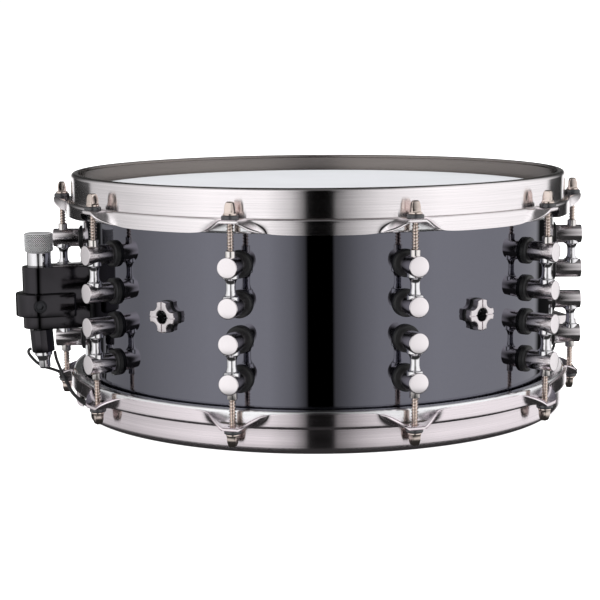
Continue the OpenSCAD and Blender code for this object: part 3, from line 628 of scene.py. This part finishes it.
SHEET = 2.3
WALL_R = 184.35
FOLD_IN = 180.2
STEP_Z = 68.35
SKIRT_R = 188.25
SKIRT_DROP = 9.25
EAR_R = 199.6
EAR_HALF = 5.5
EAR_ROOT = 19
CREASE_RUN = 9.5
CREASE_POWER = 1.23
CREASE_BEND = 1.6
EAR_HOLE = 3.2
SECTORS = 104
FOLD_R = 1.6
LOWER_FOLD_R = 4


def ease(u):
    c = min(1, max(0, u))
    return c * c * (3 - 2 * c)


def hoop_section(sideways, rim_z, fold_r):
    """Both faces of the sheet in (radius, height), at a distance sideways from the middle of the nearest
    ear. The sheet leaves the skirt along a crease that runs away from the ear as it goes down."""
    beyond = max(0, abs(sideways) - EAR_HALF)
    extra = (EAR_R - SKIRT_R) * (1 - ease(beyond / EAR_ROOT))
    drop = SKIRT_DROP * (1 - math.exp(-((beyond / CREASE_RUN) ** CREASE_POWER)))
    bend = 1 + CREASE_BEND * min(1, beyond / EAR_ROOT)
    fold_z = rim_z - SHEET / 2

    def below(f):
        return (SKIRT_R + extra * f ** bend, STEP_Z - drop * f)

    fold = [(FOLD_IN, fold_z)] + arc(WALL_R - fold_r, fold_z - fold_r, fold_r, 90, 0, 8)
    step = [(WALL_R, (fold_z + STEP_Z) / 2), (WALL_R, STEP_Z), (SKIRT_R, STEP_Z), below(0.25)]
    line = fold + soften(step, [0, 1.4, 1.8, 0], 7)
    line += [below(0.25 + 0.75 * k / 9) for k in range(1, 10)]
    left = []
    right = []
    for i, point in enumerate(line):
        ahead = Vector(line[min(len(line) - 1, i + 1)])
        behind = Vector(line[max(0, i - 1)])
        way = (ahead - behind).normalized()
        out = Vector((-way.y, way.x)) * SHEET / 2
        left.append(Vector(point) + out)
        right.append(Vector(point) - out)
    return left, right


def rounded_end(first, last):
    """Points round the sheet's edge, from one face to the other."""
    soft = 0.75
    steps = 4
    across = (last - first).normalized()
    beyond = Vector((across.y, -across.x))
    points = []
    for k in range(steps + 1):
        a = math.pi / 2 * k / steps
        points.append(first + across * soft * (1 - math.cos(a)) + beyond * soft * math.sin(a))
    for k in range(steps, -1, -1):
        a = math.pi / 2 * k / steps
        points.append(last - across * soft * (1 - math.cos(a)) + beyond * soft * math.sin(a))
    return points


def hoop_part(rim_z, fold_r):
    """A whole counter hoop. Its sections stand closer together at the ears than between them."""
    rows = []
    verts = []
    half_sector = 180 / RODS
    for lug_angle in LUG_ANGLES:
        for k in range(SECTORS):
            u = 2 * k / SECTORS - 1
            local = half_sector * (0.72 * u ** 3 + 0.28 * u)
            angle = lug_angle + local
            sideways = math.sin(math.radians(local)) * ROD_R
            left, right = hoop_section(sideways, rim_z, fold_r)
            section = left + rounded_end(left[-1], right[-1])[1:-1] + right[::-1]
            section += rounded_end(right[0], left[0])[1:-1]
            way = facing(angle)
            add_row(rows, verts, [tuple(way @ Vector((p.x, 0, p.y))) for p in section])
    return verts, faces_between(rows, True)


def gate_cutter(angle):
    """The gap in the bottom hoop's wall that the cords pass through."""
    half = 28
    corner = 4
    top = -71.5
    low = -LOW_RIM_Z - 2
    plan = [(half, low)] + arc(half - corner, top - corner, corner, 0, 90)
    plan += arc(corner - half, top - corner, corner, 90, 180) + [(-half, low)]
    rings = [[(x, y, z) for y, z in plan] for x in (168, 187)]
    return put(stack(rings), facing(angle))


def paint_hoop_shade(hoop):
    """The inside of a hoop's wall and the flats of its rim and step take a darker copy of the hoop's metal:
    painted shade.
    """
    hoop.data.materials.append(HOOP_PAINTED_SHADE)
    for polygon in hoop.data.polygons:
        across = polygon.center.xy
        inside = polygon.normal.xy.dot(across.normalized()) < -0.5 and across.length < WALL_R * MM
        flat = abs(polygon.normal.z) > 0.85 and across.length < SKIRT_R * MM
        polygon.material_index = 1 if inside or flat else 0


def build_hoops():
    drill = cylinder(EAR_HOLE, 60, 76, 40)
    drills = [put(drill, facing(a) @ moved(ROD_R)) for a in LUG_ANGLES]
    mesh = cut(mesh_of("top_hoop", hoop_part(TOP_RIM_Z, FOLD_R)), drills)
    upper = piece("upper_hoop", mesh, TOP_HOOP, "hoop_nickel", "top_hoop", sharp=50)
    # The inward faces and flats get the darker copy: painted shade.
    paint_hoop_shade(upper)
    flip = Matrix.Translation((0, 0, 2 * MID)) @ Matrix.Scale(-1, 4, (0, 0, 1))
    tools = [put(drill, flip) for drill in drills]
    tools += [gate_cutter(STRAINER_ANGLE), gate_cutter(BUTT_ANGLE)]
    mesh = cut(mesh_of("bottom_hoop", put(hoop_part(LOW_RIM_Z, LOWER_FOLD_R), flip)), tools)
    lower = piece("lower_hoop", mesh, BOTTOM_HOOP_SHADED, "hoop_nickel", "bottom_hoop", sharp=50)
    paint_hoop_shade(lower)


build_hoops()


# -------- lugs

POST_BASE = SHELL_R + 3.5
POST_TIP = 201.5
HEIGHTS = (-LUG_Z[1], -LUG_Z[0], LUG_Z[0], LUG_Z[1])
TUBE_END = 5.6
TUBE_WAIST = 3.2
GASKET_R = 9.4


def post_part():
    """A post with a slightly domed face, its Z the way out."""
    dome = 0.4
    curve = (POST_R ** 2 + dome ** 2) / (2 * dome)
    face = []
    for k in range(9):
        r = POST_R * (1 - k / 8)
        face.append((r, POST_TIP - curve + math.sqrt(curve ** 2 - r ** 2)))
    outline = [(0, POST_BASE), (POST_R, POST_BASE)] + face
    return lathe(soften(outline, [0, 0.5, 1.1] + [0] * 8, 5), 56)


def tube_part():
    """A waisted tube between two posts, coped to them at both ends."""
    sunk = 3.4
    flare = 4.4
    low = LUG_Z[0] + sunk
    high = LUG_Z[1] - sunk
    lip = LUG_Z[0] + POST_R + 0.4
    middle = (low + high) / 2
    top_r = TUBE_END - 0.3
    half = [(TUBE_END, low), (TUBE_END, lip - 0.2), (top_r, lip + 0.2)]
    for k in range(1, 10):
        a = math.pi / 2 * k / 9
        half.append((top_r - (top_r - TUBE_WAIST) * math.sin(a), lip + 0.2 + flare * (1 - math.cos(a))))
    other = [(r, 2 * middle - z) for r, z in reversed(half)]
    part = lathe([(0, low)] + half + other + [(0, high)], 40)
    cope = put(cylinder(POST_R + 0.18, -14, 14, 64), OUTWARDS)
    return part_of(cut(mesh_of("tube", part), [put(cope, moved(z=z)) for z in LUG_Z]))


def insert_part():
    outer = LUG_Z[1] + POST_R + 3.8
    outline = [(2.55, outer - 6), (2.55, outer), (3.45, outer), (3.45, 36), (2.55, 36)]
    return lathe(soften(outline, [0, 0.25, 0.45, 0, 0], 3), 36, closed=True)


def gasket_part():
    back = SHELL_R - 0.6
    outline = [(2.2, back), (GASKET_R, back), (GASKET_R, POST_BASE - 1.7), (GASKET_R - 0.5, POST_BASE - 1.5),
               (GASKET_R - 0.5, POST_BASE - 1.2), (GASKET_R - 0.1, POST_BASE - 1),
               (GASKET_R - 0.1, POST_BASE - 0.7), (GASKET_R - 1, POST_BASE), (2.2, POST_BASE)]
    return lathe(soften(outline, [0, 0, 0.2, 0.1, 0.1, 0.2, 0.4, 0.3, 0], 2), 56, closed=True)


def washer_part():
    outline = [(2.8, 0), (5.8, 0), (5.8, 2.7), (2.8, 2.7)]
    outline = [(r, STEP_Z + SHEET / 2 + z) for r, z in outline]
    return lathe(soften(outline, [0, 0.3, 0.9, 0.3], 4, closed=True), 40, closed=True)


def around_lugs(part, places):
    """Copies of a part at every lug, one for each place."""
    parts = []
    for a in LUG_ANGLES:
        for place in places:
            parts.append(put(part, facing(a) @ place))
    return joined(parts)


def build_lugs():
    each = [moved(z=z) @ OUTWARDS for z in HEIGHTS]
    ends = [moved(ROD_R), UPSIDE_DOWN @ moved(ROD_R)]
    mesh = mesh_of("posts", around_lugs(post_part(), each))
    piece("lug_post_set", mesh, LUG, "lug_nickel", "lug_posts", sharp=40)
    others = (
        ("lug_tube_set", tube_part(), ends, TUBE, "tube_chrome", "lug_tubes"),
        ("lug_insert_set", insert_part(), ends, INSERT, "insert_metal", "lug_inserts"),
        ("lug_gasket_set", gasket_part(), each, RUBBER, "rubber_black", "lug_gaskets"),
        ("rod_washer_set_top", washer_part(), ends[:1], NYLON, "washer_nylon", "rod_washers_top"),
        ("rod_washer_set_bottom", washer_part(), ends[1:], NYLON, "washer_nylon", "rod_washers_bottom"),
    )
    for name, part, places, metal, slot, node_name in others:
        piece(name, mesh_of(name, around_lugs(part, places)), metal, slot, node_name)


build_lugs()


# -------- tension rods

THREAD_PITCH = 2.1
THREAD_DEEP = 0.72
ROD_HALF = 2.5
ROD_FACE = 72.25
ROD_END = 30.25
KEY_HALF = 3.1
FLANGE_R = 4.6
FLANGE_T = 1.1


def thread_part(low, high):
    """A right-handed thread: one strip that winds up the rod, its edges just under the core's surface."""
    steps = 24
    turns = (high - low) / THREAD_PITCH
    total = int(turns * steps)
    shape = ((0.0, 0), (0.22, 1), (0.34, 1), (0.62, 0), (1.0, 0))
    rows = []
    verts = []
    for i in range(total - steps):
        a = math.tau * i / steps
        z = low + THREAD_PITCH * i / steps
        row = []
        for along, height in shape:
            r = ROD_HALF - THREAD_DEEP * (1 - height)
            row.append((r * math.cos(a), r * math.sin(a), z + along * THREAD_PITCH))
        add_row(rows, verts, row)
    faces = []
    for low_row, high_row in zip(rows, rows[1:]):
        for k in range(len(shape) - 1):
            faces.append([low_row[k], high_row[k], high_row[k + 1], low_row[k + 1]])
    return verts, faces


def key_plan(inset):
    half = KEY_HALF - inset
    corner = max(0.05, 0.7 - inset * 0.3)
    return soften([(half, -half), (half, half), (-half, half), (-half, -half)], corner, 3, closed=True)


def round_plan(radius):
    """A circle with a point in the direction of each point of the key's outline."""
    points = []
    for x, y in key_plan(0):
        way = Vector((x, y)).normalized()
        points.append((way.x * radius, way.y * radius))
    return points


def key_part():
    """The square end for the drum key: it grows out of a round foot and is crowned on top."""
    base = ROD_FACE + FLANGE_T
    pairs = list(zip(round_plan(4.3), key_plan(0)))
    rings = []
    for up, mix in ((0, 0), (0.3, 0.16), (0.7, 0.36), (1.2, 0.56), (1.8, 0.74), (2.5, 0.89), (3.4, 1)):
        rings.append([(rx * (1 - mix) + sx * mix, ry * (1 - mix) + sy * mix, base + up)
                      for (rx, ry), (sx, sy) in pairs])
    top = base + 7.8
    for inset, down in ((0.15, 3.4), (0.35, 2.2), (0.65, 1.2), (0.95, 0.6), (1.35, 0.2), (1.8, 0)):
        rings.append([(x, y, top - down) for x, y in key_plan(inset)])
    return stack(rings)


def build_rods():
    flange = [(0, ROD_FACE), (FLANGE_R, ROD_FACE), (FLANGE_R, ROD_FACE + FLANGE_T),
              (FLANGE_R - 0.5, ROD_FACE + 1.3), (0, ROD_FACE + 1.3)]
    flange = lathe(soften(flange, [0, 0.3, 0.35, 0.1, 0], 3), 40)
    core_r = ROD_HALF - THREAD_DEEP + 0.02
    core = lathe([(0, ROD_END), (ROD_HALF - 1, ROD_END), (core_r, ROD_END + 0.8), (core_r, ROD_FACE - 3.4),
                  (ROD_HALF, ROD_FACE - 3), (ROD_HALF, ROD_FACE + 0.2), (0, ROD_FACE + 0.2)], 24)
    part = joined([flange, core, key_part(), thread_part(ROD_END + 0.6, ROD_FACE - 2)])
    for i, angle in enumerate(LUG_ANGLES):
        for end, turn in (("top", Matrix.Identity(4)), ("bottom", UPSIDE_DOWN)):
            node_name = f"tension_rod_{end}_{i + 1}"
            place = facing(angle) @ turn @ moved(ROD_R) @ turned(37 * i % 20 - 10, "Z")
            shown = mesh_of(node_name, put(part, place))
            piece(f"rod_{end}_{i + 1}", shown, ROD, "rod_nickel", node_name, sharp=28)


build_rods()


# -------- vents

VENT_R = 10.65
VENT_HOLE = 4.45
VENT_OUT = 184.4
BITE_R = 5
BITE_AT = 12.5


def lobed(angle, radius):
    """The vent's outline: its radius in a direction in degrees, where four round bites leave four lobes."""
    a = (angle - 45) % 90
    a = min(a, 90 - a)
    across = BITE_AT * math.sin(math.radians(a))
    if abs(across) >= BITE_R:
        return radius
    bite = BITE_AT * math.cos(math.radians(a)) - math.sqrt(BITE_R ** 2 - across ** 2)
    grow = radius - VENT_R
    return smooth_min(radius, bite + grow * 1.2, 0.5)


def smooth_min(a, b, k):
    h = max(0, min(1, 0.5 + 0.5 * (b - a) / k))
    return b * (1 - h) + a * h - k * h * (1 - h)


def lobed_plate(hole, radius, back, front, soft):
    """A flat lobed plate with a round hole, its front edges rounded, with Z as the way out."""
    count = 288
    rows = []
    verts = []
    for k in range(count):
        angle = 360 * k / count
        outer = lobed(angle, radius)
        way = Vector((math.cos(math.radians(angle)), math.sin(math.radians(angle))))
        line = [(hole, back), (hole, front - soft)]
        line += arc(hole + soft, front - soft, soft, 180, 90, 3)[1:]
        line += [((hole + outer) / 2, front)]
        line += arc(outer - soft, front - soft, soft, 90, 0, 4)
        line += [(outer, back)]
        add_row(rows, verts, [(way.x * r, way.y * r, z) for r, z in line])
    return verts, faces_between(rows, True)


def off_axis(point, angle):
    """How far a point is from the line that runs outwards at that angle."""
    way = Vector((math.sin(math.radians(angle)), -math.cos(math.radians(angle)), 0))
    return (point - way * point.dot(way)).length


def build_vents():
    """The caps with their necks, with painted shade inside the bore, and the gaskets behind them."""
    cap = mesh_of("cap", lobed_plate(VENT_HOLE, VENT_R, GASKET_FRONT, VENT_OUT, 0.7))
    slot_plan = [(-0.5, 3.6), (0.5, 3.6), (0.5, 12), (-0.5, 12)]
    slot = stack([[(x, y, z) for x, y in slot_plan] for z in (VENT_OUT - 1.4, VENT_OUT + 1)])
    cap = part_of(cut(cap, [put(slot, turned(90 * k, "Z")) for k in range(4)]))
    neck_r = VENT_NECK - 0.05
    neck = [(VENT_HOLE, 171.5), (neck_r, 171.5), (neck_r, SHELL_R + 2), (VENT_HOLE, SHELL_R + 2)]
    neck = lathe(soften(neck, 0.2, 2, closed=True), 48, closed=True)
    gasket = lobed_plate(VENT_NECK, VENT_R + 0.4, SHELL_R - 0.9, GASKET_FRONT, 0.3)
    caps = []
    gaskets = []
    for a in VENT_ANGLES:
        place = facing(a) @ OUTWARDS
        caps.extend([put(cap, place), put(neck, place)])
        gaskets.append(put(gasket, place))
    mesh = mesh_of("vent_cap_set", joined(caps))
    made = piece("vent_cap_set", mesh, VENT, "vent_nickel", "vent_caps", sharp=40)
    # The faces inside the bore take the black rubber material: painted shade in the hole.
    made.data.materials.append(RUBBER)
    for polygon in made.data.polygons:
        across = polygon.center - Vector((0, 0, MID))
        in_bore = min(off_axis(across, a) for a in VENT_ANGLES) < (VENT_HOLE + 0.15) * MM
        polygon.material_index = 1 if in_bore and across.xy.length < (VENT_OUT - 0.9) * MM else 0
    mesh = mesh_of("vent_gasket_set", joined(gaskets))
    piece("vent_gasket_set", mesh, RUBBER, "rubber_black", "vent_gaskets")


build_vents()


# -------- strainer

BLOCK_HALF = 12.4
BLOCK_LOW = -19.8
BLOCK_HIGH = 25.2
LEVER_R = 17.6
ARM_REACH = 23.4
ARM_T = 4.8
ON_STRAINER = facing(STRAINER_ANGLE) @ moved(STRAINER_R)
SEAT_OUT = 2.8
SEAT_ACROSS = LEVER_R - 4.7
SEAT_UP = -2.25


def block_plan(inset):
    half = BLOCK_HALF - inset
    return [(GASKET_FRONT, -half)] + arc(STRAINER_R, 0, half, -90, 90, 36) + [(GASKET_FRONT, half)]


def lever_plan(inset):
    radius = LEVER_R - inset
    low = LEVER_R - ARM_T + inset
    meet = 180 - math.degrees(math.asin(low / radius))
    plan = arc(0, 0, radius, meet, 450, 56)
    plan += arc(2 - ARM_REACH, LEVER_R - 2, 2 - inset, 90, 180, 6)
    plan += arc(1 - ARM_REACH, LEVER_R - ARM_T + 1, 1 - inset, 180, 270, 4)
    return plan


def build_block():
    part = block(block_plan, BLOCK_LOW, BLOCK_HIGH, 0.6)
    slot = put(cylinder(LEVER_R + 0.8, -10.9, 6.4, 96), moved(STRAINER_R))
    bore = put(cylinder(8, -30, 30, 64), moved(STRAINER_R))
    curve = cylinder(GASKET_FRONT, -30, 30, 360)
    mesh = cut(mesh_of("block", part), [slot, bore, curve])
    mesh.transform(facing(STRAINER_ANGLE))
    piece("strainer_block", mesh, ANODISED, "black_anodised", "strainer_body")


def build_lever():
    part = block(lever_plan, -10.5, 6, 0.7)
    seat = put(cylinder(4.6, 0, 12, 48), moved(SEAT_OUT, SEAT_ACROSS, SEAT_UP) @ turned(-90, "X"))
    mesh = cut(mesh_of("lever", part), [seat, cylinder(8.1, -20, 20, 64)])
    mesh.transform(ON_STRAINER)
    piece("lever", mesh, ANODISED, "black_anodised", "throw_lever")


def build_lever_screw():
    head = soften([(0, 0), (4.5, 0), (4.5, 5.6), (3.6, 5.6), (3.6, 5.2), (3.1, 5.2), (3.1, 5.6), (0, 5.6)],
                  [0, 0.2, 0.5, 0.15, 0.1, 0.1, 0.15, 0], 3)
    mesh = mesh_of("screw", lathe(head, 48))
    hexagon = arc(0, 0, 2.3, 0, 300, 5)
    mesh = cut(mesh, [stack([[(x, y, z) for x, y in hexagon] for z in (3.2, 7)])])
    place = facing(STRAINER_ANGLE) @ moved(STRAINER_R + SEAT_OUT, SEAT_ACROSS, SEAT_UP)
    mesh.transform(place @ turned(-90, "X"))
    piece("lever_socket_screw", mesh, BLACK_STEEL, "black_steel", "lever_screw")


def build_barrel():
    outline = [(5, BLOCK_LOW), (7.9, BLOCK_LOW), (7.9, BLOCK_HIGH), (8.65, BLOCK_HIGH), (8.65, 35.3),
               (5, 35.3)]
    part = lathe(soften(outline, [0, 0.3, 0, 0.2, 0.6, 0], 4), 64, closed=True)
    mesh = mesh_of("barrel", put(part, ON_STRAINER))
    piece("barrel", mesh, TUBE, "tube_chrome", "strainer_barrel")


KNOB_R = 10.4
KNOB_LOW = 35.6
KNOB_HIGH = 49.1
KNURLS = 44
KNURL_DEEP = 0.5


def knurl_height(turns, z):
    """How high the diamond knurl stands, from 0 in a groove to 1 on a diamond's tip."""
    pitch = math.tau * KNOB_R / KNURLS
    one = (turns * KNURLS + z / pitch) % 1
    other = (turns * KNURLS - z / pitch) % 1
    return min(1 - abs(2 * one - 1), 1 - abs(2 * other - 1))


def build_knob():
    around = KNURLS * 6
    heights = [KNOB_LOW + 0.45 + (KNOB_HIGH - KNOB_LOW - 0.95) * k / 72 for k in range(73)]
    rows = []
    verts = []
    for z in heights:
        fade = ease((z - heights[0]) / 0.3) * ease((heights[-1] - z) / 0.3)
        row = []
        for k in range(around):
            a = math.tau * k / around
            r = KNOB_R - KNURL_DEEP * (1 - knurl_height(k / around, z) * fade)
            row.append((r * math.cos(a), r * math.sin(a), z))
        add_row(rows, verts, row)
    for rim, end in ((heights[0], KNOB_LOW), (heights[-1], KNOB_HIGH)):
        extra = []
        for r, z in ((9.55, end + (rim - end) * 0.2), (9.3, end), (5, end), (1, end)):
            add_row(extra, verts, circle(r, z, around))
        rows = extra[::-1] + rows if end < rim else rows + extra
    faces = faces_between(rows, False)
    faces.append(rows[0][::-1])
    faces.append(rows[-1])
    mesh = mesh_of("knob", put((verts, faces), ON_STRAINER))
    knob = piece("knurled_knob", mesh, KNOB_METAL, "knob_aluminium", "tension_knob", sharp=50)
    # Faces down in the knurl's grooves take the dark copy: painted shade in the grooves.
    knob.data.materials.append(KNURL_PAINTED_SHADE)
    for polygon in knob.data.polygons:
        across = (polygon.center.xy - KNOB.xy).length / MM
        in_groove = KNOB_R - KNURL_DEEP < across < KNOB_R - 0.66 * KNURL_DEEP and abs(polygon.normal.z) < 0.9
        polygon.material_index = 1 if in_groove else 0


CLAMP_LEAN = 4
NUT_R = 8.35
NUT_LOW = -37.6


def nut_plan(inset):
    return soften(arc(0, 0, NUT_R - inset, 15, 345, 11), 0.5, 2, closed=True)


def build_clamp():
    """The twelve-sided nut and its collet, which lean in towards the drum under the strainer."""
    lean = moved(STRAINER_R, 0, BLOCK_LOW) @ turned(CLAMP_LEAN, "Y") @ moved(z=-BLOCK_LOW)
    place = facing(STRAINER_ANGLE) @ lean
    nut = block(nut_plan, NUT_LOW, -20.7, 0.7)
    piece("clamp_nut", mesh_of("nut", put(nut, place)), ANODISED, "black_anodised", "clamp_hex", sharp=25)
    outline = [(1.3, -45), (1.3, -50), (3.3, -50), (4.1, -48.9), (4.3, -43.8), (5.3, -41), (6.3, -40.1),
               (6.3, NUT_LOW), (1.3, NUT_LOW)]
    collet = lathe(soften(outline, [0, 0.2, 0.5, 0.6, 0.8, 0.8, 0.4, 0.2, 0], 3), 48, closed=True)
    piece("collet", mesh_of("collet", put(collet, place)), TUBE, "tube_chrome", "clamp_collet")


build_block()
build_lever()
build_lever_screw()
build_barrel()
build_knob()
build_clamp()


# -------- snare wires and butt

WIRES = 20
WIRE_PITCH = 2.1
WIRE_HALF = 146
WIRE_Z = -77.55
COIL_R = 0.62
STRAND_R = 0.22
COIL_PITCH = 2.4


def build_wires():
    turns = int(2 * WIRE_HALF / COIL_PITCH)
    steps = 8
    path = []
    for i in range(turns * steps + 1):
        a = math.tau * i / steps
        x = -WIRE_HALF + 2 * WIRE_HALF * i / (turns * steps)
        path.append(Vector((x, COIL_R * math.cos(a), COIL_R * math.sin(a))))
    coil = tube(path, STRAND_R, 4, Vector((1, 0, 0)))[0]
    parts = []
    for i in range(WIRES):
        y = (i - (WIRES - 1) / 2) * WIRE_PITCH
        parts.append(put(coil, facing(STRAINER_ANGLE) @ moved(0, y, WIRE_Z)))
    mesh = mesh_of("wires", joined(parts))
    piece("coiled_wires", mesh, SNARE, "snare_steel", "snare_wires", sharp=60)


BUTT_OUT = 205
BUTT_HALF = 21
PLATE_HALF = 19
PLATE_RISE = 7.5
PLATE_T = 3.4


def butt_plan(inset):
    corner = 3 - inset
    out = BUTT_OUT - inset
    half = BUTT_HALF - inset
    plan = [(GASKET_FRONT, -half)] + arc(out - corner, corner - half, corner, -90, 0, 5)
    return plan + arc(out - corner, half - corner, corner, 0, 90, 5) + [(GASKET_FRONT, half)]


def plate_plan(inset):
    half = PLATE_HALF - inset
    rise = PLATE_RISE - inset
    return soften([(half, -rise), (half, rise), (-half, rise), (-half, -rise)], 2.5 - inset, 4, closed=True)


def build_butt():
    mesh = mesh_of("butt", block(butt_plan, -54, -31.6, 0.8))
    tools = [cylinder(GASKET_FRONT, -70, 0, 360)]
    deep = BUTT_OUT - 0.6
    past = BUTT_OUT + 3
    for z in (-34.2, -51.6):
        groove = ((deep, z - 0.5), (past, z - 0.5), (past, z + 0.5), (deep, z + 0.5))
        tools.append(stack([[(x, y, h) for x, h in groove] for y in (-30, 30)]))
    mesh = cut(mesh, tools)
    mesh.transform(facing(BUTT_ANGLE))
    piece("butt_block", mesh, BUTT, "butt_chrome", "butt_body")
    plate = block(plate_plan, 0, PLATE_T, 0.6)
    upright = Matrix(((0, 0, 1, 0), (1, 0, 0, 0), (0, 1, 0, 0), (0, 0, 0, 1)))
    place = facing(BUTT_ANGLE) @ moved(BUTT_OUT, 0, -40.1) @ upright
    piece("butt_plate", mesh_of("butt_plate", put(plate, place)), BUTT, "butt_chrome", "butt_clamp_plate")
    head = soften([(0, 0), (3.7, 0), (3.7, 6), (0, 6)], [0, 0.2, 1.4, 0], 5)
    slot_plan = ((-5, -0.6), (5, -0.6), (5, 0.6), (-5, 0.6))
    slot = stack([[(x, y, z) for x, y in slot_plan] for z in (4.4, 8)])
    screw = part_of(cut(mesh_of("screw", lathe(head, 40)), [slot]))
    parts = []
    for y in (-13, 13):
        parts.append(put(screw, facing(BUTT_ANGLE) @ moved(BUTT_OUT + PLATE_T, y, -39.5) @ OUTWARDS))
    piece("butt_screw_pair", mesh_of("butt_screws", joined(parts)), BUTT, "butt_chrome", "butt_screws")


build_wires()
build_butt()


# -------- CAD nodes that show as they are

KEPT = (
    (ZINC, "lug_screws", "lug_screw_washers", "vent_nuts", "strainer_screws", "adjust_screw", "lift_rod",
     "cam_pin"),
    (RUBBER, "strainer_gasket", "butt_gasket"),
    (PLATE, "snare_plate_strainer", "snare_plate_butt"),
)
for material, *names in KEPT:
    for name in names:
        data = frame["nodes"][name].data
        data.materials.clear()
        data.materials.append(material)


# -------- studio

# The studio's brightness round the drum: (angle, level). Two big soft boxes at the sides fade towards the
# front, where the camera stands in the dark, and the white wall behind shows between two black flags. Above
# the horizon the soft boxes go on and the wall behind is dark.
ROUND = ((-180, 1), (-155, 1), (-153, 0.02), (-129, 0.02), (-126, 0.52), (-95, 0.6), (-52, 1), (-24, 0.96),
         (-13, 0.62), (-6.6, 0.16), (-5.8, 0), (5.8, 0), (6.6, 0.2), (12, 0.36), (19, 0.6), (28, 0.8),
         (56, 1), (75, 0.97), (110, 0.88), (127, 0.86), (132, 0.02), (151, 0.02), (154, 1), (180, 1))
ABOVE = ((-180, 0.05), (-150, 0.05), (-125, 0.5), (-52, 1), (-24, 0.96), (-13, 0.5), (-5.8, 0), (5.8, 0),
         (13, 0.3), (28, 0.72), (56, 1), (110, 0.9), (130, 0.7), (150, 0.05), (180, 0.05))
UP_LEVEL = 0.1
DOWN_LEVEL = 0.03
STUDIO_LEVEL = 1.1
BACKDROP_LEVEL = 1.05

# Heights in degrees between which one part of the studio fades into the next
WALL_FADE = (-3, 5)
ROOF_FADE = (45, 75)
FLOOR_FADE = (-15, -27)


def level_ramp(tree, turns, levels):
    """Brightness by direction, from (angle, level) pairs in order."""
    ramp = node(tree, "ValToRGB", {"Fac": turns})
    stops = ramp.color_ramp.elements
    while len(stops) < len(levels):
        stops.new(1)
    for stop, (angle, level) in zip(stops, levels):
        stop.position = angle / 360 + 0.5
        stop.color = (level, level, level, 1)
    return ramp.outputs["Color"]


def crossfade(tree, height, fade, first, second):
    """Fades from one colour to another between two heights."""
    span = {"Value": height, "From Min": math.radians(fade[0]), "From Max": math.radians(fade[1])}
    share = node(tree, "MapRange", span, interpolation_type="SMOOTHSTEP").outputs["Result"]
    return node(tree, "MixRGB", {"Fac": share, "Color1": first, "Color2": second}).outputs["Color"]


def build_world():
    world = bpy.data.worlds.new("studio")
    bpy.context.scene.world = world
    world.use_nodes = True
    tree = world.node_tree
    tree.nodes.clear()
    way = node(tree, "SeparateXYZ", {"Vector": node(tree, "TexCoord").outputs["Generated"]})
    back = maths(tree, "MULTIPLY", way.outputs["Y"], -1)
    turn = maths(tree, "ARCTAN2", way.outputs["X"], back)
    turns = maths(tree, "MULTIPLY_ADD", turn, 0.5 / math.pi, 0.5)
    height = maths(tree, "ARCSINE", way.outputs["Z"])
    low_walls = level_ramp(tree, turns, ROUND)
    walls = crossfade(tree, height, WALL_FADE, low_walls, level_ramp(tree, turns, ABOVE))
    roofed = crossfade(tree, height, ROOF_FADE, walls, (UP_LEVEL, UP_LEVEL, UP_LEVEL, 1))
    whole = crossfade(tree, height, FLOOR_FADE, roofed, (DOWN_LEVEL, DOWN_LEVEL, DOWN_LEVEL, 1))
    light = node(tree, "Background", {"Color": whole, "Strength": STUDIO_LEVEL})
    white = node(tree, "Background", {"Color": (1, 1, 1, 1), "Strength": BACKDROP_LEVEL})
    seen = node(tree, "LightPath").outputs["Is Camera Ray"]
    sources = {"Fac": seen, 1: light.outputs["Background"], 2: white.outputs["Background"]}
    both = node(tree, "MixShader", sources)
    node(tree, "OutputWorld", {"Surface": both.outputs["Shader"]})


def build_floor():
    data = bpy.data.meshes.new("floor")
    reach = 30
    corners = [(-reach, -reach, 0), (reach, -reach, 0), (reach, reach, 0), (-reach, reach, 0)]
    data.from_pydata(corners, [], [(0, 1, 2, 3)])
    material = finish("floor_white", (0.96, 0.96, 0.96), (0.7, 0.8), 30, tint=0.01, bump=0.02, wear=3,
                      Emission_Color=(1, 1, 1, 1), Emission_Strength=1.0)
    data.materials.append(material)
    floor = linked("floor", data)
    floor.visible_glossy = False


def build_lamp():
    """A wide soft lamp overhead, for the matt head and the floor. The polished metal doesn't mirror it."""
    data = bpy.data.lights.new("soft_top", "AREA")
    data.shape = "SQUARE"
    data.size = 2.5
    data.energy = 48
    lamp = linked("soft_top", data)
    lamp.location = (0, 0, 2.2)
    lamp.visible_glossy = False


build_world()
build_floor()
build_lamp()
bpy.context.scene.view_settings.view_transform = "Standard"
